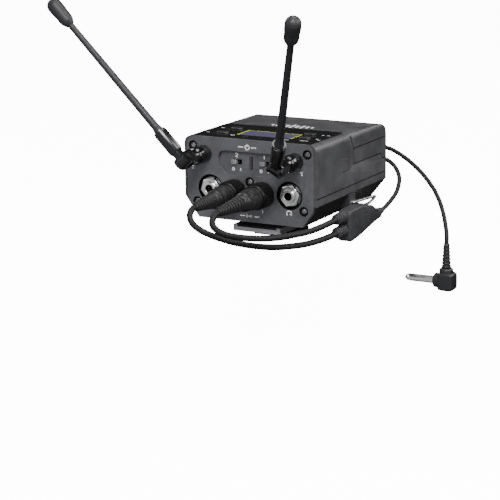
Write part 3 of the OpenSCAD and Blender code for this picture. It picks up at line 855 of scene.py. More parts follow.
@made_once
def ring_stack() -> bpy.types.NodeTree:
    """Make the tree that adds a row of round ribs along a straight core.

    Returns:
        The geometry tree.
    """
    sheet, given, out = group(
        "ring_stack", "GeometryNodeTree",
        [("Core", "NodeSocketGeometry", None), ("Start", "NodeSocketVector", None),
         ("End", "NodeSocketVector", None), ("Count", "NodeSocketInt", 8),
         ("Start Radius", "NodeSocketFloat", 0.003), ("End Radius", "NodeSocketFloat", 0.002),
         ("Rib Share", "NodeSocketFloat", 0.16), ("Finish", "NodeSocketMaterial", None)],
        [("Pieces", "NodeSocketGeometry")],
    )
    line = sheet.add("GeometryNodeCurvePrimitiveLine",
                     {"Start": given.outputs["Start"], "End": given.outputs["End"]})
    dots = sheet.add("GeometryNodeResampleCurve",
                     {"Curve": line.outputs[0], "Count": given.outputs["Count"]}, mode="COUNT")
    circle = sheet.add("GeometryNodeCurvePrimitiveCircle", {"Resolution": 40, "Radius": 1.0})
    section = sheet.add("GeometryNodeCurvePrimitiveCircle",
                        {"Resolution": 8, "Radius": given.outputs["Rib Share"]})
    rib = sheet.add("GeometryNodeCurveToMesh",
                    {"Curve": circle.outputs[0], "Profile Curve": section.outputs[0]})
    axis = sheet.add("ShaderNodeVectorMath", {0: given.outputs["End"], 1: given.outputs["Start"]},
                     operation="SUBTRACT")
    facing = sheet.add("FunctionNodeAlignRotationToVector", {"Vector": axis.outputs[0]}, axis="Z")
    last = sheet.maths("SUBTRACT", given.outputs["Count"], 1.0)
    share = sheet.maths("DIVIDE", sheet.add("GeometryNodeInputIndex").outputs[0], last)
    size = sheet.add("ShaderNodeMapRange", {"Value": share,
                                            "To Min": given.outputs["Start Radius"],
                                            "To Max": given.outputs["End Radius"]})
    ribs = sheet.add("GeometryNodeInstanceOnPoints",
                     {"Points": dots.outputs[0], "Instance": rib.outputs[0],
                      "Rotation": facing.outputs[0], "Scale": size.outputs[0]})
    finish_tree(sheet, given, out, ribs.outputs[0], given.outputs["Core"])
    return sheet.tree


@made_once
def ridge_ring() -> bpy.types.NodeTree:
    """Make the tree that adds straight ridges round a core, as a knurl.

    Returns:
        The geometry tree.
    """
    sheet, given, out = group(
        "ridge_ring", "GeometryNodeTree",
        [("Core", "NodeSocketGeometry", None), ("Centre", "NodeSocketVector", None),
         ("Axis", "NodeSocketVector", (0.0, -1.0, 0.0)), ("Count", "NodeSocketInt", 36),
         ("Radius", "NodeSocketFloat", 0.0055), ("Ridge Radius", "NodeSocketFloat", 0.0003),
         ("Length", "NodeSocketFloat", 0.007), ("Finish", "NodeSocketMaterial", None)],
        [("Pieces", "NodeSocketGeometry")],
    )
    circle = sheet.add("GeometryNodeCurvePrimitiveCircle",
                       {"Resolution": given.outputs["Count"], "Radius": given.outputs["Radius"]})
    ridge = sheet.add("GeometryNodeMeshCylinder",
                      {"Vertices": 6, "Radius": given.outputs["Ridge Radius"],
                       "Depth": given.outputs["Length"]})
    ridges = sheet.add("GeometryNodeInstanceOnPoints",
                       {"Points": circle.outputs[0], "Instance": ridge.outputs[0]})
    facing = sheet.add("FunctionNodeAlignRotationToVector", {"Vector": given.outputs["Axis"]},
                       axis="Z")
    placed = sheet.add("GeometryNodeTransform",
                       {"Geometry": ridges.outputs[0], "Translation": given.outputs["Centre"],
                        "Rotation": facing.outputs[0]})
    finish_tree(sheet, given, out, placed.outputs[0], given.outputs["Core"])
    return sheet.tree


@made_once
def row_of_blocks() -> bpy.types.NodeTree:
    """Make the tree that adds a straight row of small blocks to a core.

    Returns:
        The geometry tree.
    """
    sheet, given, out = group(
        "row_of_blocks", "GeometryNodeTree",
        [("Core", "NodeSocketGeometry", None), ("First", "NodeSocketVector", None),
         ("Step", "NodeSocketVector", None), ("Count", "NodeSocketInt", 4),
         ("Size", "NodeSocketVector", None), ("Finish", "NodeSocketMaterial", None)],
        [("Pieces", "NodeSocketGeometry")],
    )
    dots = sheet.add("GeometryNodeMeshLine",
                     {"Count": given.outputs["Count"], "Start Location": given.outputs["First"],
                      "Offset": given.outputs["Step"]}, mode="OFFSET")
    block = sheet.add("GeometryNodeMeshCube", {"Size": given.outputs["Size"]})
    blocks = sheet.add("GeometryNodeInstanceOnPoints",
                       {"Points": dots.outputs[0], "Instance": block.outputs[0]})
    finish_tree(sheet, given, out, blocks.outputs[0], given.outputs["Core"])
    return sheet.tree


@made_once
def copies_on_points() -> bpy.types.NodeTree:
    """Make the tree that sets a copy of one part on each point of a mesh.

    Returns:
        The geometry tree.
    """
    sheet, given, out = group(
        "copies_on_points", "GeometryNodeTree",
        [("Points", "NodeSocketGeometry", None), ("Part", "NodeSocketObject", None),
         ("Facing", "NodeSocketVector", (0.0, 0.0, 1.0)),
         ("Turn Spread", "NodeSocketFloat", 3.0), ("Seed", "NodeSocketInt", 7),
         ("Finish", "NodeSocketMaterial", None)],
        [("Pieces", "NodeSocketGeometry")],
    )
    part = sheet.add("GeometryNodeObjectInfo", {"Object": given.outputs["Part"]})
    facing = sheet.add("FunctionNodeAlignRotationToVector", {"Vector": given.outputs["Facing"]},
                       axis="Z")
    turn = sheet.add("FunctionNodeRandomValue",
                     {"Max": given.outputs["Turn Spread"], "Seed": given.outputs["Seed"]},
                     data_type="FLOAT")
    spin = sheet.add("ShaderNodeCombineXYZ", {"Z": turn.outputs["Value"]})
    turned_about = sheet.add("FunctionNodeRotateRotation",
                             {"Rotation": facing.outputs[0], "Rotate By": spin.outputs[0]},
                             rotation_space="LOCAL")
    copies = sheet.add("GeometryNodeInstanceOnPoints",
                       {"Points": given.outputs["Points"], "Instance": part.outputs["Geometry"],
                        "Rotation": turned_about.outputs[0]})
    finish_tree(sheet, given, out, copies.outputs[0], None)
    return sheet.tree


@made_once
def wound_spring() -> bpy.types.NodeTree:
    """Make the tree that winds a conical wire spring.

    Returns:
        The geometry tree.
    """
    sheet, given, out = group(
        "wound_spring", "GeometryNodeTree",
        [("Core", "NodeSocketGeometry", None), ("Centre", "NodeSocketVector", None),
         ("Axis", "NodeSocketVector", (1.0, 0.0, 0.0)), ("Turns", "NodeSocketFloat", 4.0),
         ("Start Radius", "NodeSocketFloat", 0.003), ("End Radius", "NodeSocketFloat", 0.002),
         ("Height", "NodeSocketFloat", 0.004), ("Wire Radius", "NodeSocketFloat", 0.0003),
         ("Finish", "NodeSocketMaterial", None)],
        [("Pieces", "NodeSocketGeometry")],
    )
    helix = sheet.add("GeometryNodeCurveSpiral",
                      {"Resolution": 28, "Rotations": given.outputs["Turns"],
                       "Start Radius": given.outputs["Start Radius"],
                       "End Radius": given.outputs["End Radius"],
                       "Height": given.outputs["Height"]})
    section = sheet.add("GeometryNodeCurvePrimitiveCircle",
                        {"Resolution": 8, "Radius": given.outputs["Wire Radius"]})
    wire = sheet.add("GeometryNodeCurveToMesh",
                     {"Curve": helix.outputs[0], "Profile Curve": section.outputs[0],
                      "Fill Caps": True})
    facing = sheet.add("FunctionNodeAlignRotationToVector", {"Vector": given.outputs["Axis"]},
                       axis="Z")
    placed = sheet.add("GeometryNodeTransform",
                       {"Geometry": wire.outputs[0], "Translation": given.outputs["Centre"],
                        "Rotation": facing.outputs[0]})
    finish_tree(sheet, given, out, placed.outputs[0], given.outputs["Core"])
    return sheet.tree


def finish_tree(sheet: Sheet, given: bpy.types.Node, out: bpy.types.Node,
                made: bpy.types.NodeSocket, core: bpy.types.NodeSocket | None) -> None:
    """End a geometry tree: join the core, realize the copies and set the finish.

    Args:
        sheet: The tree's sheet.
        given: Its input node, with a Finish socket.
        out: Its output node.
        made: What the tree repeats.
        core: The mesh that the repeats sit on, if it is kept.
    """
    joined = sheet.add("GeometryNodeJoinGeometry")
    sheet.tree.links.new(made, joined.inputs[0])
    if core is not None:
        sheet.tree.links.new(core, joined.inputs[0])
    real = sheet.add("GeometryNodeRealizeInstances", {"Geometry": joined.outputs[0]})
    painted = sheet.add("GeometryNodeSetMaterial", {"Geometry": real.outputs[0],
                                                    "Material": given.outputs["Finish"]})
    sheet.tree.links.new(painted.outputs[0], out.inputs[0])


def grown(core: bpy.types.Mesh, tree: bpy.types.NodeTree, finish: Finish,
          **sizes: object) -> bpy.types.Mesh:
    """Run a geometry tree on a mesh and take the result as a plain mesh.

    Args:
        core: The mesh that the tree starts from.
        tree: The geometry tree.
        finish: The finish of the result.
        sizes: The tree's inputs, with an underscore for each space.

    Returns:
        The plain mesh, with its faces outwards.
    """
    obj = loose(core)
    maker = obj.modifiers.new(tree.name, "NODES")
    maker.node_group = tree
    maker[socket_key(tree, "Finish")] = finish.material()
    for title, value in sizes.items():
        key = socket_key(tree, title.replace("_", " ").title())
        maker[key] = tuple(value) if isinstance(value, Vector) else value
    mesh = baked(obj)
    bm = bmesh.new()
    bm.from_mesh(mesh)
    bmesh.ops.recalc_face_normals(bm, faces=bm.faces)
    bm.to_mesh(mesh)
    bm.free()
    return mesh


def dots(name: str, places: Iterable[Vector]) -> bpy.types.Mesh:
    """Make a mesh of loose points.

    Args:
        name: The mesh's name.
        places: The points in metres.

    Returns:
        The mesh.
    """
    mesh = bpy.data.meshes.new(name)
    mesh.from_pydata([tuple(place) for place in places], [], [])
    return mesh


# -------------------------------------------------------------------- studio


@dataclass
class Studio:
    """The camera, the soft lights and the plain floor."""

    turn: float = 28.50
    lift: float = 13.63
    roll: float = -0.76
    distance: float = 881.06
    aim_right: float = 0.07
    aim_up: float = 12.25
    lens: float = 144.0
    sensor: float = 36.0
    floor_z: float = -64.0
    floor_size: float = 9000.0
    floor_glow: float = 14.0
    front_glow: float = 0.6
    back_glow: float = 0.03

    def camera(self) -> None:
        """Set up the camera where the unit is seen from the right and a little above."""
        turn, lift, roll = (math.radians(a) for a in (self.turn, self.lift, self.roll))
        back = Vector((math.sin(turn) * math.cos(lift), -math.cos(turn) * math.cos(lift),
                       math.sin(lift)))
        level = Vector((math.cos(turn), math.sin(turn), 0.0))
        upright = back.cross(level)
        right = level * math.cos(roll) + upright * math.sin(roll)
        up = upright * math.cos(roll) - level * math.sin(roll)
        data = bpy.data.cameras.new("camera")
        data.lens = self.lens
        data.sensor_width = self.sensor
        data.clip_end = 50.0
        camera = bpy.data.objects.new("camera", data)
        bpy.context.scene.collection.objects.link(camera)
        offset = back * self.distance - right * self.aim_right - up * self.aim_up
        place = at(0, 0, 0) + offset * MM
        turned_axes = Matrix((right, up, back)).transposed()
        camera.matrix_world = Matrix.Translation(place) @ turned_axes.to_4x4()
        bpy.context.scene.camera = camera

    def floor(self) -> None:
        """Lay the pale floor below the hanging plug."""
        half = self.floor_size / 2
        bm = bmesh.new()
        corners = [bm.verts.new(at(x, y, self.floor_z))
                   for x, y in ((-half, -half), (half, -half), (half, half), (-half, half))]
        bm.faces.new(corners)
        floor = loose(smoothed(bm, "floor"))
        made = bpy.data.materials.new("floor_paper")
        made.use_nodes = True
        sheet = Sheet(made.node_tree)
        place = sheet.add("ShaderNodeTexCoord").outputs["Object"]
        cloud = sheet.add("ShaderNodeTexNoise", {"Vector": place, "Scale": 3.0, "Detail": 2.0})
        colour = mixed(sheet, cloud.outputs[0], (0.88, 0.88, 0.88, 1), (0.91, 0.91, 0.91, 1))
        shader = sheet.add("ShaderNodeBsdfPrincipled", {
            "Base Color": colour, "Roughness": 0.9, "Emission Color": colour,
            "Emission Strength": self.floor_glow})
        sheet.add("ShaderNodeOutputMaterial", {0: shader.outputs[0]})
        floor.data.materials.append(made)
        floor.visible_diffuse = False
        floor.visible_glossy = False

    def lamp(self, name: str, place: Place, target: Place, size: Point, power: float) -> None:
        """Hang one rectangular soft light.

        Args:
            name: Its name.
            place: Where it hangs, in case millimetres.
            target: What it faces, in case millimetres.
            size: Its width and height in millimetres.
            power: Its power in watts.
        """
        data = bpy.data.lights.new(name, "AREA")
        data.shape = "RECTANGLE"
        data.size = size[0] * MM
        data.size_y = size[1] * MM
        data.energy = power
        lamp = bpy.data.objects.new(name, data)
        bpy.context.scene.collection.objects.link(lamp)
        lamp.location = at(*place)
        lamp.rotation_euler = (at(*target) - at(*place)).to_track_quat("-Z", "Y").to_euler()

    def light(self) -> None:
        """Light the object from the front right, from above and softly from behind."""
        self.lamp("key", (300, -600, 620), (0, 10, 20), (420, 380), 10.0)
        self.lamp("side", (700, -60, 430), (20, 30, 20), (420, 420), 4.4)
        self.lamp("fill", (-620, -420, 240), (0, 10, 20), (260, 520), 0.3)
        self.lamp("rear", (560, 640, 460), (0, 50, 15), (320, 320), 4.0)
        self.lamp("rear_fill", (-700, 320, 520), (0, 50, 15), (320, 320), 2.5)
        self.lamp("top", (80, 120, 780), (0, 40, 30), (420, 360), 3.2)
        self.surround()

    def surround(self) -> None:
        """Set the surround: a lit room in front, a dark one behind, pale to the eye."""
        world = bpy.data.worlds.new("surround")
        world.use_nodes = True
        sheet = Sheet(world.node_tree)
        way = sheet.add("ShaderNodeTexCoord").outputs["Generated"]
        depth = sheet.add("ShaderNodeSeparateXYZ", {0: way}).outputs[1]
        glow = sheet.add("ShaderNodeMapRange", {"Value": depth, "From Min": -0.9,
                                                "From Max": 0.35, "To Min": self.front_glow,
                                                "To Max": self.back_glow})
        room = sheet.add("ShaderNodeBackground", {"Color": (0.95, 0.96, 1.0, 1.0),
                                                  "Strength": glow.outputs[0]})
        paper = sheet.add("ShaderNodeBackground", {"Color": (0.9, 0.9, 0.9, 1.0),
                                                   "Strength": self.floor_glow * 1.2})
        seen = sheet.add("ShaderNodeLightPath").outputs["Is Camera Ray"]
        both = sheet.add("ShaderNodeMixShader", {0: seen, 1: room.outputs[0],
                                                 2: paper.outputs[0]})
        sheet.add("ShaderNodeOutputWorld", {0: both.outputs[0]})
        bpy.context.scene.world = world

    def build(self) -> None:
        """Set up the whole studio."""
        self.camera()
        self.floor()
        self.light()


# --------------------------------------------------------------------- cords


@dataclass
class Cord:
    """One free lead: its route and its facts."""

    name: str
    radius: float
    route: Sequence[Place]
    length: float
    far_end: str
    stiffness: str

    def build(self) -> bpy.types.Object:
        """Make the lead as a round curve through its route.

        Returns:
            The lead.
        """
        data = bpy.data.curves.new(self.name, "CURVE")
        data.dimensions = "3D"
        data.resolution_u = 8
        data.render_resolution_u = 8
        data.bevel_depth = self.radius * MM
        data.bevel_resolution = 5
        data.use_fill_caps = True
        spline = data.splines.new("BEZIER")
        spline.bezier_points.add(len(self.route) - 1)
        for knot, place in zip(spline.bezier_points, self.route):
            knot.co = at(*place)
            knot.handle_left_type = "AUTO"
            knot.handle_right_type = "AUTO"
        data.materials.append(CORD_RUBBER.material())
        lead = bpy.data.objects.new(self.name, data)
        bpy.context.scene.collection.objects.link(lead)
        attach(lead, "receiver")
        LOG.info("%s: %d route points, %.1f mm", self.name, len(self.route),
                 spline.calc_length() / MM)
        return lead


@dataclass
class CordSet:
    """The two output leads, the block that joins them, and the lead to the camera."""

    lead_radius: float = 1.4
    tail_radius: float = 1.05
    block_x: Point = (34.9, 41.1)
    block_side: Sequence[Point] = (
        (16, 5.4), (16, -8.2), (19, -8.8), (27, -7.8), (43, -4.6), (50, -3.8),
        (50, -0.7), (44, 1.4), (40, 3.8), (28, 5.6))
    dimples: Sequence[Point] = ((20, 2.4), (33, 1.4), (25, -3.4))
    dimple_radius: float = 0.62
    guard_z: Sequence[float] = (3.0, -3.0)
    guard_y: float = 8.0
    guard_ribs_y: Point = (9.0, 14.4)
    lead_guard: Sequence[Point] = ((0, 0), (1.7, 0), (1.85, 0.7), (1.9, 8.6), (0, 8.6))
    tail_z: float = -2.2
    tail_guard_y: float = 48.5
    tail_guard: Sequence[Point] = ((0, 0), (2.3, 0), (2.1, 1.6), (1.55, 6.6), (1.35, 7.5),
                                   (0, 7.5))
    middle_x: float = 38.0
    far: Place = (67.6, 61.8, -20.5)
    plug_side: Sequence[Point] = ((-3.4, -17.4), (4.2, -17.4), (4.2, -9.0), (-3.4, -9.0))
    plug_half: float = 3.6
    plug_barrel: Sequence[Point] = ((0, -3), (3.4, -3), (3.4, 5.3), (2.9, 5.8), (0, 5.8))
    barrel_drop: float = 13.2
    plug_neck: Sequence[Point] = ((0, 0), (3.3, 0), (3.2, 2.4), (2.7, 3.0), (0, 3.0))
    neck_drop: float = 10.0
    plug_relief: Sequence[Point] = ((0, 0), (2.0, 0), (1.9, 0.8), (1.35, 10.6), (1.2, 11.5),
                                    (0, 11.5))
    relief_drop: float = 7.0
    relief_ribs: Point = (-6.2, 3.6)
    lead_1_length: float = 75.0
    lead_2_length: float = 82.0
    tail_length: float = 152.0

    lead_1_route: Sequence[Place] = (
        (6.9, -39.6, 13.3), (6.9, -42.6, 13), (6.9, -45.2, 11.6), (7.2, -46.4, 9.4),
        (8.6, -46, 7.2), (10.8, -44, 5.2), (14, -40, 3.4), (18, -34, 1.8), (22, -27, 0.6),
        (25.6, -20, 0), (29, -13, 0), (32.4, -7, 0.4), (35.6, -1, 1.6), (37.8, 5, 2.8),
        (38, 8, 3))
    lead_2_route: Sequence[Place] = (
        (-6.9, -35.1, 13.3), (-6.9, -38, 13.1), (-6.7, -40.6, 12), (-6, -42.2, 10),
        (-4.4, -42.6, 7.6), (-1.6, -41.8, 5.2), (2, -39.8, 3), (6, -36.6, 0.8),
        (10.6, -31.6, -1.6), (15.4, -25.6, -3.6), (20.6, -18.6, -5.2), (25.6, -11.6, -5.8),
        (30.4, -5.6, -5.6), (34.6, 0, -4.6), (37.6, 5, -3.4), (38, 8, -3))
    tail_route: Sequence[Place] = (
        (38, 56, -2.2), (38.5, 60, -0.8), (39, 64, 1), (39.5, 68, 3.4), (39.5, 71, 6.4),
        (38.5, 74, 9.8), (36, 76.5, 12.8), (32, 79.5, 15), (26.5, 82.5, 16.2), (19, 84.4, 16.6),
        (12, 85.4, 16.6), (7.6, 87, 16.7), (5.4, 90.4, 17.2), (7, 94, 18), (12, 95.6, 19),
        (18, 94, 19.6), (24.4, 91.8, 19.4), (30.4, 89.8, 18), (37, 86.4, 15.8),
        (44, 82.4, 12.8), (51.4, 77.8, 8.4), (58, 73, 3), (62.6, 69, -3.4), (65.6, 65.4, -9.4),
        (67.2, 62.8, -13), (67.6, 61.8, -16))

    def block(self) -> bpy.types.Object:
        """Make the moulded block where the two leads become one.

        Returns:
            The block, with its ribbed guards.
        """
        bm = bmesh.new()
        outline = fillet(self.block_side, 2.2, steps=4, closed=True)
        prism(bm, outline, *self.block_x, lambda y, z, x: at(x, y, z))
        outward(bm)
        obj = loose(smoothed(bm, "block_core"))
        bevelled(obj, 1.3)
        cutter = self.dimple_pins()
        cut_with(obj, cutter, "DIFFERENCE")
        core = baked(obj)
        bpy.data.objects.remove(cutter)
        bm = bmesh.new()
        bm.from_mesh(core)
        for z in (*self.guard_z, self.tail_z):
            self.guard(bm, z)
        outward(bm)
        core = smoothed(bm, "block_core")
        for z in self.guard_z:
            start, end = (at(self.middle_x, y, z) for y in self.guard_ribs_y)
            core = grown(core, ring_stack(), BLOCK_RUBBER, start=start, end=end, count=4,
                         start_radius=2.0 * MM, end_radius=2.2 * MM, rib_share=0.25)
        return fitted(core, "cord_block", "receiver", BLOCK_RUBBER, ["y_block"])

    def dimple_pins(self) -> bpy.types.Object:
        """Make the small cones that press the dimples into the block's outer face.

        Returns:
            The cutter.
        """
        bm = bmesh.new()
        for y, z in self.dimples:
            turned(bm, [(0, -1.1), (self.dimple_radius * 0.8, -1.0), (self.dimple_radius, 0.2),
                        (0, 0.3)],
                   at(self.block_x[1], y, z), Vector((1, 0, 0)), sides=16)
        outward(bm)
        return loose(smoothed(bm, "dimple_pins"))

    def guard(self, bm: bmesh.types.BMesh, z: float) -> None:
        """Add the sleeve where one lead enters the block.

        Args:
            bm: The block's mesh data.
            z: The lead's height; the tail's sleeve leaves at the rear.
        """
        if z == self.tail_z:
            profile, base = fillet(self.tail_guard, 0.5), at(self.middle_x, self.tail_guard_y, z)
        else:
            profile, base = fillet(self.lead_guard, 0.4), at(self.middle_x, self.guard_y, z)
        turned(bm, profile, base, Vector((0, 1, 0)), 32)

    def far_plug(self) -> list[bpy.types.Object]:
        """Make the right-angled plug at the end of the camera lead.

        Returns:
            The plug's moulding and its ribbed relief.
        """
        x, y, z = self.far
        side = fillet(self.plug_side, 1.9, 5, True)
        bm = bmesh.new()
        prism(bm, side, -self.plug_half, self.plug_half,
              lambda across, up, depth: at(x + across, y + depth, z + up))
        outward(bm)
        obj = loose(smoothed(bm, "plug_core"))
        bevelled(obj, 1.1)
        core = baked(obj)
        bm = bmesh.new()
        bm.from_mesh(core)
        turned(bm, fillet(self.plug_barrel, 0.4), at(x, y, z - self.barrel_drop),
               Vector((-1, 0, 0)))
        turned(bm, fillet(self.plug_neck, 0.5), at(x, y, z - self.neck_drop),
               Vector((0, 0, 1)))
        outward(bm)
        plug = fitted(smoothed(bm, "plug_core"), "camera_plug_moulding", "receiver",
                      PLUG_RUBBER, ["camera_plug"])
        core = turned_mesh("relief_core", fillet(self.plug_relief, 0.4),
                           at(x, y, z - self.relief_drop), Vector((0, 0, 1)), 32)
        start, end = (at(x, y, z + height) for height in self.relief_ribs)
        core = grown(core, ring_stack(), PLUG_RUBBER, start=start, end=end, count=7,
                     start_radius=1.92 * MM, end_radius=1.42 * MM, rib_share=0.18)
        relief = fitted(core, "camera_plug_ribs", "receiver", PLUG_RUBBER,
                        ["camera_plug_relief"])
        return [plug, relief]

    def build(self, reliefs: Callable[[], Sequence[bpy.types.Object]]) -> None:
        """Args:
            reliefs: Makes the output plugs' reliefs, which are the object's own.
        """
        lead_1 = Cord("lead_1", self.lead_radius, self.lead_1_route, self.lead_1_length,
                      "fitting", "medium")
        lead_2 = Cord("lead_2", self.lead_radius, self.lead_2_route, self.lead_2_length,
                      "fitting", "medium")
        tail = Cord("camera_lead", self.tail_radius, self.tail_route, self.tail_length,
                    "plug", "medium")
        made = [lead_1.build(), lead_2.build(), tail.build()]
        for lead, node in zip(made, ("output_lead_1", "output_lead_2", "tail_cord")):
            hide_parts(node)
        block = self.block()
        plug = self.far_plug()
        dressed("camera_plug_pin", CHROME)
        reliefs()


# -------------------------------------------------------------- output plugs


@dataclass
class OutputPlug:
    """One screw-locked output plug: its knurled collar, its body and its relief."""

    number: int
    x: float
    relief_end: float
    z: float = 13.3
    ridges: int = 40
    ridges_y: float = -4.7
    collar_radius: float = 5.5
    collar_outline: Sequence[Point] = (
        (0, 0.4), (5.2, 0.4), (5.5, 0.7), (5.5, 8.6), (5.1, 9.5), (3.3, 9.5), (3.15, 8.3),
        (0, 8.3))
    body_outline: Sequence[Point] = (
        (0, -8.6), (1.75, -8.6), (1.75, 5), (3.0, 5), (3.0, 9.7), (4.75, 9.7), (4.75, 10.8),
        (4.1, 10.9), (4.1, 11.6), (4.75, 11.8), (4.75, 14.6), (4.55, 15.0), (4.55, 16.8),
        (3.8, 17.0), (3.8, 17.5), (4.3, 17.7), (4.2, 19.4), (3.7, 20.2), (3.7, 20.6),
        (0, 20.6))
    outwards: Place = (0, -1, 0)

    def axis_base(self) -> Vector:
        """Give the plug's axis where it meets the panel's face."""
        return at(self.x, 0, self.z)

    def collar(self) -> None:
        """Make the knurled collar that turns on the plug."""
        core = turned_mesh("collar_core", fillet(self.collar_outline, 0.25),
                           self.axis_base(), Vector(self.outwards), 72)
        core = grown(core, ridge_ring(), COLLAR_BLACK, centre=at(self.x, self.ridges_y, self.z),
                     axis=Vector(self.outwards), count=self.ridges,
                     radius=self.collar_radius * MM, ridge_radius=0.30 * MM, length=6.6 * MM)
        name = f"lock_collar_{self.number}"
        fitted(core, f"knurled_collar_{self.number}", name, COLLAR_BLACK, [name])

    def body(self) -> None:
        """Make the moulded plug body with its steps."""
        mesh = turned_mesh("plug_body", fillet(self.body_outline, 0.14), self.axis_base(),
                           Vector(self.outwards), 56)
        fitted(mesh, f"plug_body_{self.number}", "receiver", PLUG_RUBBER,
               [f"output_plug_{self.number}"])

    def relief(self) -> bpy.types.Object:
        """Make the tapered, ribbed relief.

        Returns:
            The relief.
        """
        end = self.relief_end
        profile = [(0, 20.4), (3.5, 20.4), (3.5, 21.0), (2.6, 21.4), (1.6, end - 1.2),
                   (1.65, end), (0, end)]
        core = turned_mesh("relief_core", fillet(profile, 0.3), self.axis_base(),
                           Vector(self.outwards), 48)
        core = grown(core, ring_stack(), PLUG_RUBBER, start=at(self.x, -22.2, self.z),
                     end=at(self.x, -(end - 1.6), self.z), count=9,
                     start_radius=2.85 * MM, end_radius=1.75 * MM, rib_share=0.2)
        return fitted(core, f"plug_ribs_{self.number}", "receiver", PLUG_RUBBER,
                      [f"plug_relief_{self.number}"])

    def build(self) -> None:
        """Make the collar and the plug's body; the relief is made with the cords."""
        self.collar()
        self.body()


# ------------------------------------------------------------------ antennas


class Side(Enum):
    """Which side of the case a part is on, as the sign of its x."""

    LEFT = -1
    RIGHT = 1


@dataclass
class Antenna:
    """One hinged whip antenna."""

    side: Side
    swivel: float
    tilt: float
    length: float = 94.5
    tip: float = 15.0
    tip_radius: float = 3.4

    def name(self, part: str) -> str:
        """Give a part's node name on this side."""
        return f"antenna_{part}_{self.side.name.lower()}"

    def axis(self) -> Vector:
        """Give the way the mast points at rest."""
        swivel, tilt = math.radians(self.swivel), math.radians(self.tilt)
        return Vector((self.side.value * math.sin(swivel) * math.sin(tilt), -math.cos(tilt),
                       math.cos(swivel) * math.sin(tilt)))

    def knuckle(self) -> None:
        """Dress the turning base and its pin, and soften the fork's edges."""
        fitted(softened([self.name("base")], 0.2), self.name("fork"), self.name("base"),
               ANTENNA_GLOSS, [self.name("base")])
        dressed(self.name("pin"), PIN_STEEL)

    def sleeve(self) -> None:
        """Make the sleeve over the mast's foot, with the bright ring at its top, which also
        paints the highlight along the sleeve's lip.
        """
        body = self.name("mast")
        fitted(softened([self.name("sleeve")], 0.2), self.name("foot_sleeve"), body,
               ANTENNA_GLOSS, [self.name("sleeve")])
        # A thin bright steel ring at the sleeve's top; it also stands in for the highlight along
        # the sleeve's lip.
        bm = bmesh.new()
        ring = fillet([(2.2, 16.6), (2.9, 16.6), (2.9, 16.82), (2.2, 16.82)], 0.08, 3, True)
        turned(bm, ring, middle(self.name("pin")), self.axis(), closed=True)
        outward(bm)
        fitted(smoothed(bm, "ring"), self.name("sleeve_ring"), body, SCREW_STEEL)

    def mast(self) -> None:
        """Make the tapering rubber mast and its rounded tip."""
        body = self.name("mast")
        base = middle(self.name("pin"))
        start = self.length - self.tip
        mast = [(0, 12), (1.5, 12), (1.5, 16.4), (2.3, 16.6), (2.15, 17.6), (1.78, 19.4),
                (1.66, 45), (1.46, start), (1.3, start + 1.5), (0, start + 1.5)]
        fitted(turned_mesh("mast", fillet(mast, 0.5), base, self.axis(), 40),
               self.name("whip"), body, MAST_RUBBER, [self.name("mast")])
        waist = self.length - 7.4
        cap = [(0, start - 0.2), (1.5, start - 0.2), (2.1, start + 0.7), (2.9, start + 2.0),
               (3.2, start + 3.8), (3.18, waist - 0.9), (self.tip_radius, waist + 0.6)]
        dome = [(self.tip_radius * math.cos(turn),
                 self.length - self.tip_radius * (1 - math.sin(turn)))
                for turn in (math.radians(angle) for angle in range(0, 90, 9))]
        fitted(turned_mesh("cap", [*fillet(cap, 0.8), *dome, (0, self.length)], base,
                           self.axis(), 48),
               self.name("cap"), body, MAST_RUBBER, [self.name("tip")])

    def build(self) -> None:
        """Make the whole antenna."""
        self.knuckle()
        self.sleeve()
        self.mast()


# --------------------------------------------------------------------- marks


def arc(centre: Point, radius: float, start: float, end: float, steps: int = 12) -> list[Point]:
    """Give points along an arc.

    Args:
        centre: The arc's centre.
        radius: Its radius.
        start: Its first angle in degrees.
        end: Its last angle in degrees.
        steps: Stretches between points.

    Returns:
        The points.
    """
    turns = (math.radians(start + (end - start) * step / steps) for step in range(steps + 1))
    return [(centre[0] + radius * math.cos(t), centre[1] + radius * math.sin(t)) for t in turns]


def ribbon(stroke: Stroke, width: float) -> list[Point]:
    """Give the outline of a stroke of even width.

    Args:
        stroke: The stroke's middle line.
        width: Its width.

    Returns:
        The outline, once round.
    """
    line = [Vector(point) for point in stroke]
    left, right = [], []
    for index, point in enumerate(line):
        before = line[max(index - 1, 0)]
        after = line[min(index + 1, len(line) - 1)]
        way = (after - before).normalized()
        across = Vector((-way.y, way.x)) * width / 2
        left.append(tuple(point + across))
        right.append(tuple(point - across))
    return [*left, *reversed(right)]


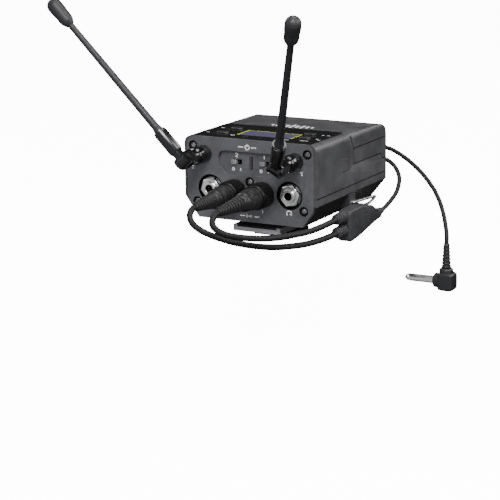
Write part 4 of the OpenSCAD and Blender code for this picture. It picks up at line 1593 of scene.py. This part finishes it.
class Sign(Enum):
    """The generic marks printed on the unit, each drawn about its own middle, 1 unit high."""

    ONE = (((-0.18, 0.3), (0.0, 0.5)), ((0.0, 0.5), (0.0, -0.5)))
    TWO = ((*arc((0.0, 0.22), 0.28, 165, -35, 9), (-0.28, -0.5)), ((-0.3, -0.5), (0.32, -0.5)))
    POWER = (tuple(arc((0.0, 0.0), 0.45, 58, -238, 18)), ((0.0, 0.05), (0.0, 0.62)))
    OFF = (tuple(arc((0.0, 0.0), 0.42, 0, 348, 18)),)
    ON = (((0.0, 0.45), (0.0, -0.45)),)
    PHONES = (tuple(arc((0.0, -0.05), 0.5, 0, 180, 14)), ((-0.5, -0.1), (-0.5, -0.5)),
              ((-0.36, -0.12), (-0.36, -0.5)), ((0.5, -0.1), (0.5, -0.5)),
              ((0.36, -0.12), (0.36, -0.5)))
    ARROW_OUT = (((-0.9, 0.0), (0.55, 0.0)), ((0.2, 0.35), (0.6, 0.0)),
                 ((0.2, -0.35), (0.6, 0.0)), ((-0.9, 0.5), (-0.9, -0.5)))
    ARROW_IN = (((-0.6, 0.0), (0.8, 0.0)), ((0.45, 0.35), (0.85, 0.0)),
                ((0.45, -0.35), (0.85, 0.0)), ((0.95, 0.5), (0.95, -0.5)))
    AERIAL = (((0.0, -0.5), (0.0, 0.5)), ((-0.34, 0.5), (0.0, 0.1)), ((0.34, 0.5), (0.0, 0.1)))
    DASH = (((-0.5, 0.0), (0.5, 0.0)),)
    UP = (((-0.35, -0.2), (0.0, 0.25)), ((0.35, -0.2), (0.0, 0.25)))
    DOWN = (((-0.35, 0.2), (0.0, -0.25)), ((0.35, 0.2), (0.0, -0.25)))


class Face(Enum):
    """The flat faces that carry marks."""

    PANEL = "panel"
    BAY = "bay"
    TOP = "top"
    LID = "lid"


@dataclass
class Marks:
    """The white printed marks, as thin ink films."""

    ink: float = 0.03
    ink_sink: float = -0.01
    bar_sink: float = -0.02
    panel_stroke: float = 0.5
    bay_stroke: float = 0.44
    top_stroke: float = 0.34
    bay_depth: float = 1.5
    top_z: float = 36.7
    panel_signs: Sequence[tuple[Sign, Point, float]] = (
        (Sign.POWER, (-1.0, 33.4), 2.3), (Sign.DASH, (-4.2, 33.4), 2.6),
        (Sign.DASH, (2.2, 33.4), 2.6), (Sign.ARROW_OUT, (0.0, 2.7), 1.7),
        (Sign.DASH, (-3.8, 2.7), 2.4), (Sign.DASH, (3.4, 2.7), 2.4),
        (Sign.ONE, (6.3, 5.5), 1.9), (Sign.TWO, (-6.6, 5.5), 1.9),
        (Sign.PHONES, (19.3, 5.9), 2.2), (Sign.ARROW_IN, (-19.6, 5.4), 1.8),
        (Sign.AERIAL, (25.7, 23.7), 1.7), (Sign.AERIAL, (-28.4, 22.4), 1.7))
    bay_signs: Sequence[tuple[Sign, Point, float]] = (
        (Sign.TWO, (-7.2, 29.3), 1.7), (Sign.ONE, (6.6, 29.3), 1.7),
        (Sign.OFF, (-8.8, 23.0), 1.3), (Sign.ON, (-5.2, 23.0), 1.3),
        (Sign.OFF, (5.0, 23.0), 1.3), (Sign.ON, (8.6, 23.0), 1.3))
    top_signs: Sequence[tuple[Sign, Point, float]] = (
        (Sign.UP, (24.6, 23.4), 1.6), (Sign.DASH, (27.0, 23.4), 1.5),
        (Sign.DOWN, (26.0, 14.2), 1.6), (Sign.DASH, (27.9, 12.0), 1.3),
        (Sign.DASH, (22.6, 8.2), 4.0), (Sign.DASH, (14.0, 7.4), 3.0),
        (Sign.DASH, (-12.6, 8.0), 2.2), (Sign.DASH, (-26.4, 10.4), 1.6),
        (Sign.DASH, (-25.6, 22.8), 1.6))
    wave_bars: Sequence[float] = (2.4, 3.8, 5.6, 4.2, 7.2, 4.2, 5.6, 3.8, 2.4)
    wave_pitch: float = 2.5
    wave_bar: float = 1.0
    wave_y: float = 41.6
    lid_top: float = 36.07

    def place(self, face: Face) -> Callable[[float, float, float], Vector]:
        """Give the function that lays a drawing on a face.

        Args:
            face: The face.

        Returns:
            A function of across, up and depth in millimetres.
        """
        if face is Face.PANEL:
            return lambda x, z, depth: at(x, -depth, z)
        if face is Face.BAY:
            return lambda x, z, depth: at(x, self.bay_depth - depth, z)
        if face is Face.TOP:
            return lambda x, y, depth: at(x, y, self.top_z + depth)
        return lambda x, y, depth: at(x, y, self.lid_top + depth)

    def print_on(self, face: Face, signs: Sequence[tuple[Sign, Point, float]],
                 width: float) -> bpy.types.Object:
        """Print marks on one face.

        Args:
            face: The face.
            signs: Each mark with its middle and its height.
            width: The strokes' width.

        Returns:
            The ink film.
        """
        bm = bmesh.new()
        for sign, middle_point, height in signs:
            for stroke in sign.value:
                scaled = [(middle_point[0] + x * height, middle_point[1] + y * height)
                          for x, y in stroke]
                prism(bm, ribbon(scaled, width), self.ink_sink, self.ink, self.place(face))
        bmesh.ops.recalc_face_normals(bm, faces=bm.faces)
        return fitted(smoothed(bm, face.value), f"marks_{face.value}", "receiver", LABEL_INK)

    def wave(self) -> bpy.types.Object:
        """Print the plain sound-wave device on the lid.

        Returns:
            The ink film.
        """
        bm = bmesh.new()
        half = (len(self.wave_bars) - 1) / 2
        for index, length in enumerate(self.wave_bars):
            x = (index - half) * self.wave_pitch
            left, right = x - self.wave_bar / 2, x + self.wave_bar / 2
            front, rear = self.wave_y - length / 2, self.wave_y + length / 2
            bar = fillet([(left, front), (right, front), (right, rear), (left, rear)], 0.4, 3,
                         True)
            prism(bm, bar, self.bar_sink, self.ink, self.place(Face.LID))
        bmesh.ops.recalc_face_normals(bm, faces=bm.faces)
        return fitted(smoothed(bm, "wave"), "lid_wave_mark", "battery_lid", LABEL_INK)

    def build(self) -> None:
        """Print every mark."""
        self.print_on(Face.PANEL, self.panel_signs, self.panel_stroke)
        self.print_on(Face.BAY, self.bay_signs, self.bay_stroke)
        self.print_on(Face.TOP, self.top_signs, self.top_stroke)
        self.wave()


# ------------------------------------------------------------ panel and case


@dataclass
class FrontPanel:
    """The metal front panel with its screws, jacks and sockets."""

    screw_places: Sequence[Point] = ((-28.3, 32.4), (28.3, 32.4), (-26.5, 7.2), (26.5, 7.2),
                                     (0.0, 18.1))
    head_radius: float = 1.4
    head_front: float = 0.2
    slot_width: float = 0.5
    slot_reach: float = 0.9
    slot_depth: Point = (-0.75, 0.6)
    nut_radius: float = 5.0
    nut_turn: int = 12
    nut_depth: Point = (1.5, -0.6)
    nut_chamfer: Sequence[Point] = ((3.05, -1.6), (6.2, -1.6), (6.2, -0.1), (4.4, 0.42),
                                    (4.1, 0.6), (3.5, 0.6), (3.05, 0.3))
    # Black rings: round each screw a washer that also paints its recess's shade; round each jack
    # nut, painted shade of the recess wall.
    washer_y: float = 0.42
    seat_y: float = 1.46
    washer: Sequence[Point] = ((1.45, 0.0), (2.15, 0.0), (2.15, 0.47), (1.45, 0.47))
    jack_seat: Sequence[Point] = ((5.05, 0.0), (6.28, 0.0), (6.28, 1.42), (6.1, 1.42),
                                  (6.0, 0.12), (5.05, 0.12))
    jack_x: float = 19.6
    jack_z: float = 13.6

    def screw_head(self) -> bpy.types.Object:
        """Make one cross-recessed screw head, facing up, as the part to copy.

        Returns:
            The head.
        """
        bm = bmesh.new()
        r = self.head_radius
        profile = [(0, -3.4), (1.0, -3.4), (1.0, -1.3), (r, -1.3), (r, -0.5),
                   (r * 0.8, -0.12), (0, 0)]
        turned(bm, fillet(profile, 0.2), Vector(), Vector((0, 0, 1)), 32)
        outward(bm)
        head = loose(smoothed(bm, "screw_head"))
        bm = bmesh.new()
        w, reach = self.slot_width / 2, self.slot_reach
        cross = [(w, w), (reach, w), (reach, -w), (w, -w), (w, -reach), (-w, -reach), (-w, -w),
                 (-reach, -w), (-reach, w), (-w, w), (-w, reach), (w, reach)]
        prism(bm, cross, *self.slot_depth, lambda x, y, z: Vector((x, y, z)) * MM)
        outward(bm)
        cutter = loose(smoothed(bm, "screw_cross"))
        cut_with(head, cutter, "DIFFERENCE")
        head = loose(baked(head))
        bpy.data.objects.remove(cutter)
        return head

    def screws(self) -> None:
        """Drive the five screws, each stopped at its own angle, and lay black rings of painted
        recess shade round the screws and jack nuts.
        """
        head = self.screw_head()
        points = dots("screw_points", [at(x, self.head_front, z) for x, z in self.screw_places])
        mesh = grown(points, copies_on_points(), SCREW_STEEL, part=head,
                     facing=Vector((0, -1, 0)), turn_spread=3.0, seed=4)
        bpy.data.objects.remove(head)
        fitted(mesh, "panel_screw_heads", "receiver", SCREW_STEEL, ["panel_screws"])
        # Black rings of painted shade: washers round the screws, which also stand for their
        # recesses' shade, and rings round the jack nuts.
        bm = bmesh.new()
        for x, z in self.screw_places:
            turned(bm, fillet(self.washer, 0.08, 2, True), at(x, self.washer_y, z),
                   Vector((0, -1, 0)), 40, closed=True)
        for x in (-self.jack_x, self.jack_x):
            turned(bm, self.jack_seat, at(x, self.seat_y, self.jack_z), Vector((0, -1, 0)), 56,
                   closed=True)
        outward(bm)
        fitted(smoothed(bm, "washers"), "washers_and_seats", "receiver", SEAM_AND_SHADE_BLACK)

    def nuts(self) -> bpy.types.Mesh:
        """Make the two hexagonal jack nuts, chamfered round their faces.

        Returns:
            Both nuts.
        """
        r = self.nut_radius
        hexagon = [(r * math.cos(turn), r * math.sin(turn))
                   for turn in (math.radians(60 * side + self.nut_turn) for side in range(6))]
        bm, round_bm = bmesh.new(), bmesh.new()
        for x in (-self.jack_x, self.jack_x):
            prism(bm, hexagon, *self.nut_depth,
                  lambda across, up, depth: at(x + across, depth, self.jack_z + up))
            turned(round_bm, self.nut_chamfer, at(x, 0, self.jack_z), Vector((0, -1, 0)), 64,
                   True)
        outward(bm)
        outward(round_bm)
        nuts = loose(smoothed(bm, "nuts"))
        rounds = loose(smoothed(round_bm, "rounds"))
        cut_with(nuts, rounds, "INTERSECT")
        mesh = baked(nuts, 25.0)
        bpy.data.objects.remove(rounds)
        return mesh

    def jacks(self) -> None:
        """Dress the two jacks and the two output sockets."""
        fitted(self.nuts(), "jack_hex_nuts", "receiver", CHROME, ["jack_nuts"])
        fitted(softened(["jack_sleeves"], 0.28, 3), "jack_threaded_sleeves", "receiver", CHROME,
               ["jack_sleeves"])
        dressed("jack_bodies", SOCKET_BLACK)
        fitted(softened(["output_sockets"], 0.15), "output_socket_shells", "receiver", STEEL,
               ["output_sockets"])
        fitted(softened(["antenna_bushes"], 0.2), "antenna_collars", "receiver", ANTENNA_GLOSS,
               ["antenna_bushes"])

    def build(self) -> None:
        """Make the whole panel."""
        fitted(softened(["front_panel"], 0.16, 3), "panel_plate", "receiver", PANEL_PAINT,
               ["front_panel"])
        self.screws()
        self.jacks()


@dataclass
class PowerSwitches:
    """The two slide switches in the recessed bay."""

    rib: Place = (0.22, 0.22, 1.5)
    rib_step: float = 0.5
    ribs: int = 3
    rib_proud: float = 0.02
    divider: tuple[Point, Point] = ((-0.82, 23.2), (0.36, 29.0))
    divider_depth: Point = (1.52, 3.4)

    def build(self) -> None:
        """Make both knobs, ribbed for the finger, and dress the bodies behind them."""
        for number in (1, 2):
            node = f"power_knob_{number}"
            low, high = (Vector(corner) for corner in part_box(node))
            first = Vector(((low.x + high.x) / 2 - self.rib_step * MM * (self.ribs - 1) / 2,
                            low.y - self.rib_proud * MM, (low.z + high.z) / 2))
            mesh = grown(softened([node], 0.22, 3), row_of_blocks(), KNOB_GREY, first=first,
                         step=Vector((self.rib_step * MM, 0, 0)), count=self.ribs,
                         size=Vector(self.rib) * MM)
            fitted(mesh, f"switch_knob_{number}", node, KNOB_GREY, [node])
        dressed("power_switch_bodies", SOCKET_BLACK)
        bm = bmesh.new()
        (left, low), (right, high) = self.divider
        prism(bm, fillet([(left, low), (right, low), (right, high), (left, high)], 0.5, 4, True),
              *self.divider_depth, lambda x, z, depth: at(x, depth, z))
        outward(bm)
        fitted(smoothed(bm, "divider"), "bay_divider", "receiver", BRACKET_GREY)


@dataclass
class DisplayTop:
    """The gloss display plate with the display, its buttons and its lamps."""

    window: tuple[Point, Point] = ((-11.4, 11.0), (14.6, 21.8))
    window_height: Point = (34.6, 36.56)

    def build(self) -> None:
        """Dress the plate, the display and the buttons."""
        fitted(softened(["display_panel"], 0.15), "display_plate", "receiver", DISPLAY_GLOSS,
               ["display_panel"])
        fitted(softened(["lcd_frame"], 0.12), "display_surround", "receiver", LCD_SURROUND,
               ["lcd_frame"])
        bm = bmesh.new()
        (left, front), (right, rear) = self.window
        prism(bm, fillet([(left, front), (right, front), (right, rear), (left, rear)], 0.3, 3,
                         True), *self.window_height, at)
        outward(bm)
        fitted(smoothed(bm, "window"), "display_window", "receiver", LcdGlass(), ["lcd_glass"])
        fitted(softened(["indicator_lenses"], 0.12), "lamp_lenses", "receiver", LENS_SMOKE,
               ["indicator_lenses"])
        for number in range(1, 5):
            node = f"menu_button_{number}"
            fitted(softened([node], 0.3, 3), f"button_cap_{number}", node, BUTTON_RUBBER,
                   [node])


@dataclass
class CaseShell:
    """The painted case, the black underside and the two lid latches."""

    shoulder: float = 0.22
    side_x: float = 32.75
    seam_width: float = 0.4
    seam_depth: Point = (-0.2, 0.03)
    band_seam: Stroke = ((0.4, 12.92), (71.6, 12.92))
    lid_seam: Stroke = ((34.3, 35.6), (34.5, 34.6), (35.5, 31.9), (36.8, 29.6), (36.8, 22.1),
                        (65.8, 22.1), (68.5, 19.3), (71.6, 19.3))
    skirt_seam: Stroke = ((37.1, 29.2), (71.4, 29.2))
    bracket: Sequence[Point] = ((33, 9.1), (33, 2.6), (39, 2.6), (39, 9.1))
    bracket_x: Point = (32.5, 32.68)

    def seams(self) -> None:
        """Lay the dark gap lines between the covers on both sides."""
        for name, body, strokes in (("case_seams", "receiver", (self.band_seam, self.lid_seam)),
                                    ("skirt_seams", "battery_lid", (self.skirt_seam,))):
            bm = bmesh.new()
            for sign in (-1, 1):
                for stroke in strokes:
                    prism(bm, ribbon(stroke, self.seam_width), *self.seam_depth,
                          lambda y, z, out: at(sign * (self.side_x + out), y, z))
            outward(bm)
            fitted(smoothed(bm, name), name, body, SEAM_AND_SHADE_BLACK)

    def brackets(self) -> None:
        """Make the grey cheek plates on the ears that carry the belt clip."""
        bm = bmesh.new()
        for sign in (-1, 1):
            prism(bm, fillet(self.bracket, 0.4, 3, True), *self.bracket_x,
                  lambda y, z, x: at(sign * x, y, z))
        outward(bm)
        fitted(smoothed(bm, "clip_brackets"), "clip_brackets", "receiver", BRACKET_GREY)

    def build(self) -> None:
        """Soften and dress the case's shells."""
        fitted(softened(["case_frame"], self.shoulder, 3), "case_shell", "receiver", CASE_PAINT,
               ["case_frame"])
        fitted(softened(["lower_band"], self.shoulder, 3), "case_band", "receiver", CASE_PAINT,
               ["lower_band"])
        fitted(softened(["bottom_cover"], 0.25, 2), "underside_cover", "receiver",
               UNDERSIDE_BLACK, ["bottom_cover"])
        for side in Side:
            node = f"latch_{side.name.lower()}"
            fitted(softened([node], 0.2, 2), f"lid_latch_{side.name.lower()}", node, CASE_PAINT,
                   [node])
        self.seams()
        self.brackets()


@dataclass
class BatteryBay:
    """The lid, its skirt and hinge, and the cells in their tray."""

    spring_turns: float = 4.0
    spring_radius: float = 2.6
    spring_tip: float = 0.6
    spring_height: float = 0.6
    spring_wire: float = 0.18
    spring_inset: float = 0.4
    cell_z: float = 25.0
    cell_rows: Point = (46.4, 60.4)

    def springs(self) -> bpy.types.Mesh:
        """Wind the contact springs onto the contact plates.

        Returns:
            The contacts with their springs.
        """
        low, high = (Vector(corner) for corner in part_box("battery_contacts"))
        bm = bmesh.new()
        bm.from_mesh(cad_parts["battery_contacts"].data)
        bmesh.ops.remove_doubles(bm, verts=bm.verts, dist=NODE_WELD)
        mesh = smoothed(bm, "contacts")
        inset = self.spring_inset * MM
        for y, x, way in zip(self.cell_rows, (low.x + inset, high.x - inset), (1.0, -1.0)):
            row = at(0, y, self.cell_z)
            mesh = grown(mesh, wound_spring(), STEEL, centre=Vector((x, row.y, row.z)),
                         axis=Vector((way, 0, 0)), turns=self.spring_turns,
                         start_radius=self.spring_radius * MM,
                         end_radius=self.spring_radius * self.spring_tip * MM,
                         height=self.spring_height * MM, wire_radius=self.spring_wire * MM)
        return mesh

    def build(self) -> None:
        """Make the lid and dress what is under it."""
        fitted(softened(["battery_lid"], 0.25, 3), "lid_shell", "battery_lid", LID_PAINT,
               ["battery_lid"])
        fitted(softened(["lid_skirt"], 0.2, 3), "lid_side", "battery_lid", LID_PAINT,
               ["lid_skirt"])
        dressed("lid_hinge_pin", STEEL)
        fitted(softened(["battery_tray"], 0.25), "cell_tray", "receiver", TRAY_BLACK,
               ["battery_tray"])
        fitted(self.springs(), "cell_contacts", "receiver", STEEL, ["battery_contacts"])
        fitted(softened(["battery_cells"], 0.4, 3), "dry_cells", "receiver", CellWrap(),
               ["battery_cells"])


@dataclass
class ShoeAdapter:
    """The plate, block and foot that carry the unit on an accessory shoe."""

    def build(self) -> None:
        """Soften and dress the adapter's parts."""
        fitted(softened(["adapter_plate"], 0.2), "slide_plate", "receiver", ADAPTER_GREY,
               ["adapter_plate"])
        fitted(softened(["adapter_block"], 0.3), "adapter_body", "receiver", UNDERSIDE_BLACK,
               ["adapter_block"])
        fitted(softened(["shoe_foot"], 0.2, 3), "foot", "receiver", FOOT_METAL, ["shoe_foot"])
        dressed("adapter_screws", SCREW_STEEL)
        dressed("belt_clip", WIRE_STEEL)


@dataclass
class Boards:
    """The circuit boards with their chips and shielding cans."""

    chip_rows: Sequence[tuple[Place, int, Place]] = (
        ((-20, 40, 7.9), 5, (2.6, 2.6, 0.9)), ((6, 42, 7.9), 4, (3.2, 2.0, 0.8)),
        ((-22, 52, 7.9), 8, (1.2, 0.8, 0.6)))
    chip_step: float = 4.6

    def build(self) -> None:
        """Dress the boards and set rows of chips on the main one."""
        dressed("main_board", BOARD_GREEN)
        dressed("display_board", BOARD_GREEN)
        fitted(softened(["tuner_cans"], 0.3, 3), "tuner_shields", "receiver", CAN_TIN,
               ["tuner_cans"])
        chips = dots("chips", [])
        for first, count, size in self.chip_rows:
            chips = grown(chips, row_of_blocks(), CHIP_BLACK, first=at(*first),
                          step=Vector((self.chip_step * MM, 0, 0)), count=count,
                          size=Vector(size) * MM)
        fitted(chips, "board_chips", "receiver", CHIP_BLACK)


def main() -> None:
    """Build the whole receiver, camera and cords first."""
    logging.basicConfig(level=logging.INFO, format="%(name)s %(message)s")
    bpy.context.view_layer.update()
    Studio().build()
    plugs = [OutputPlug(number=1, x=6.9, relief_end=41.0),
             OutputPlug(number=2, x=-6.9, relief_end=36.5)]
    CordSet().build(lambda: [plug.relief() for plug in plugs])
    for plug in plugs:
        plug.build()
    Antenna(Side.LEFT, swivel=45.0, tilt=90.0).build()
    Antenna(Side.RIGHT, swivel=26.0, tilt=57.5).build()
    FrontPanel().build()
    PowerSwitches().build()
    DisplayTop().build()
    CaseShell().build()
    BatteryBay().build()
    ShoeAdapter().build()
    Boards().build()
    Marks().build()


if __name__ == "__main__":
    main()
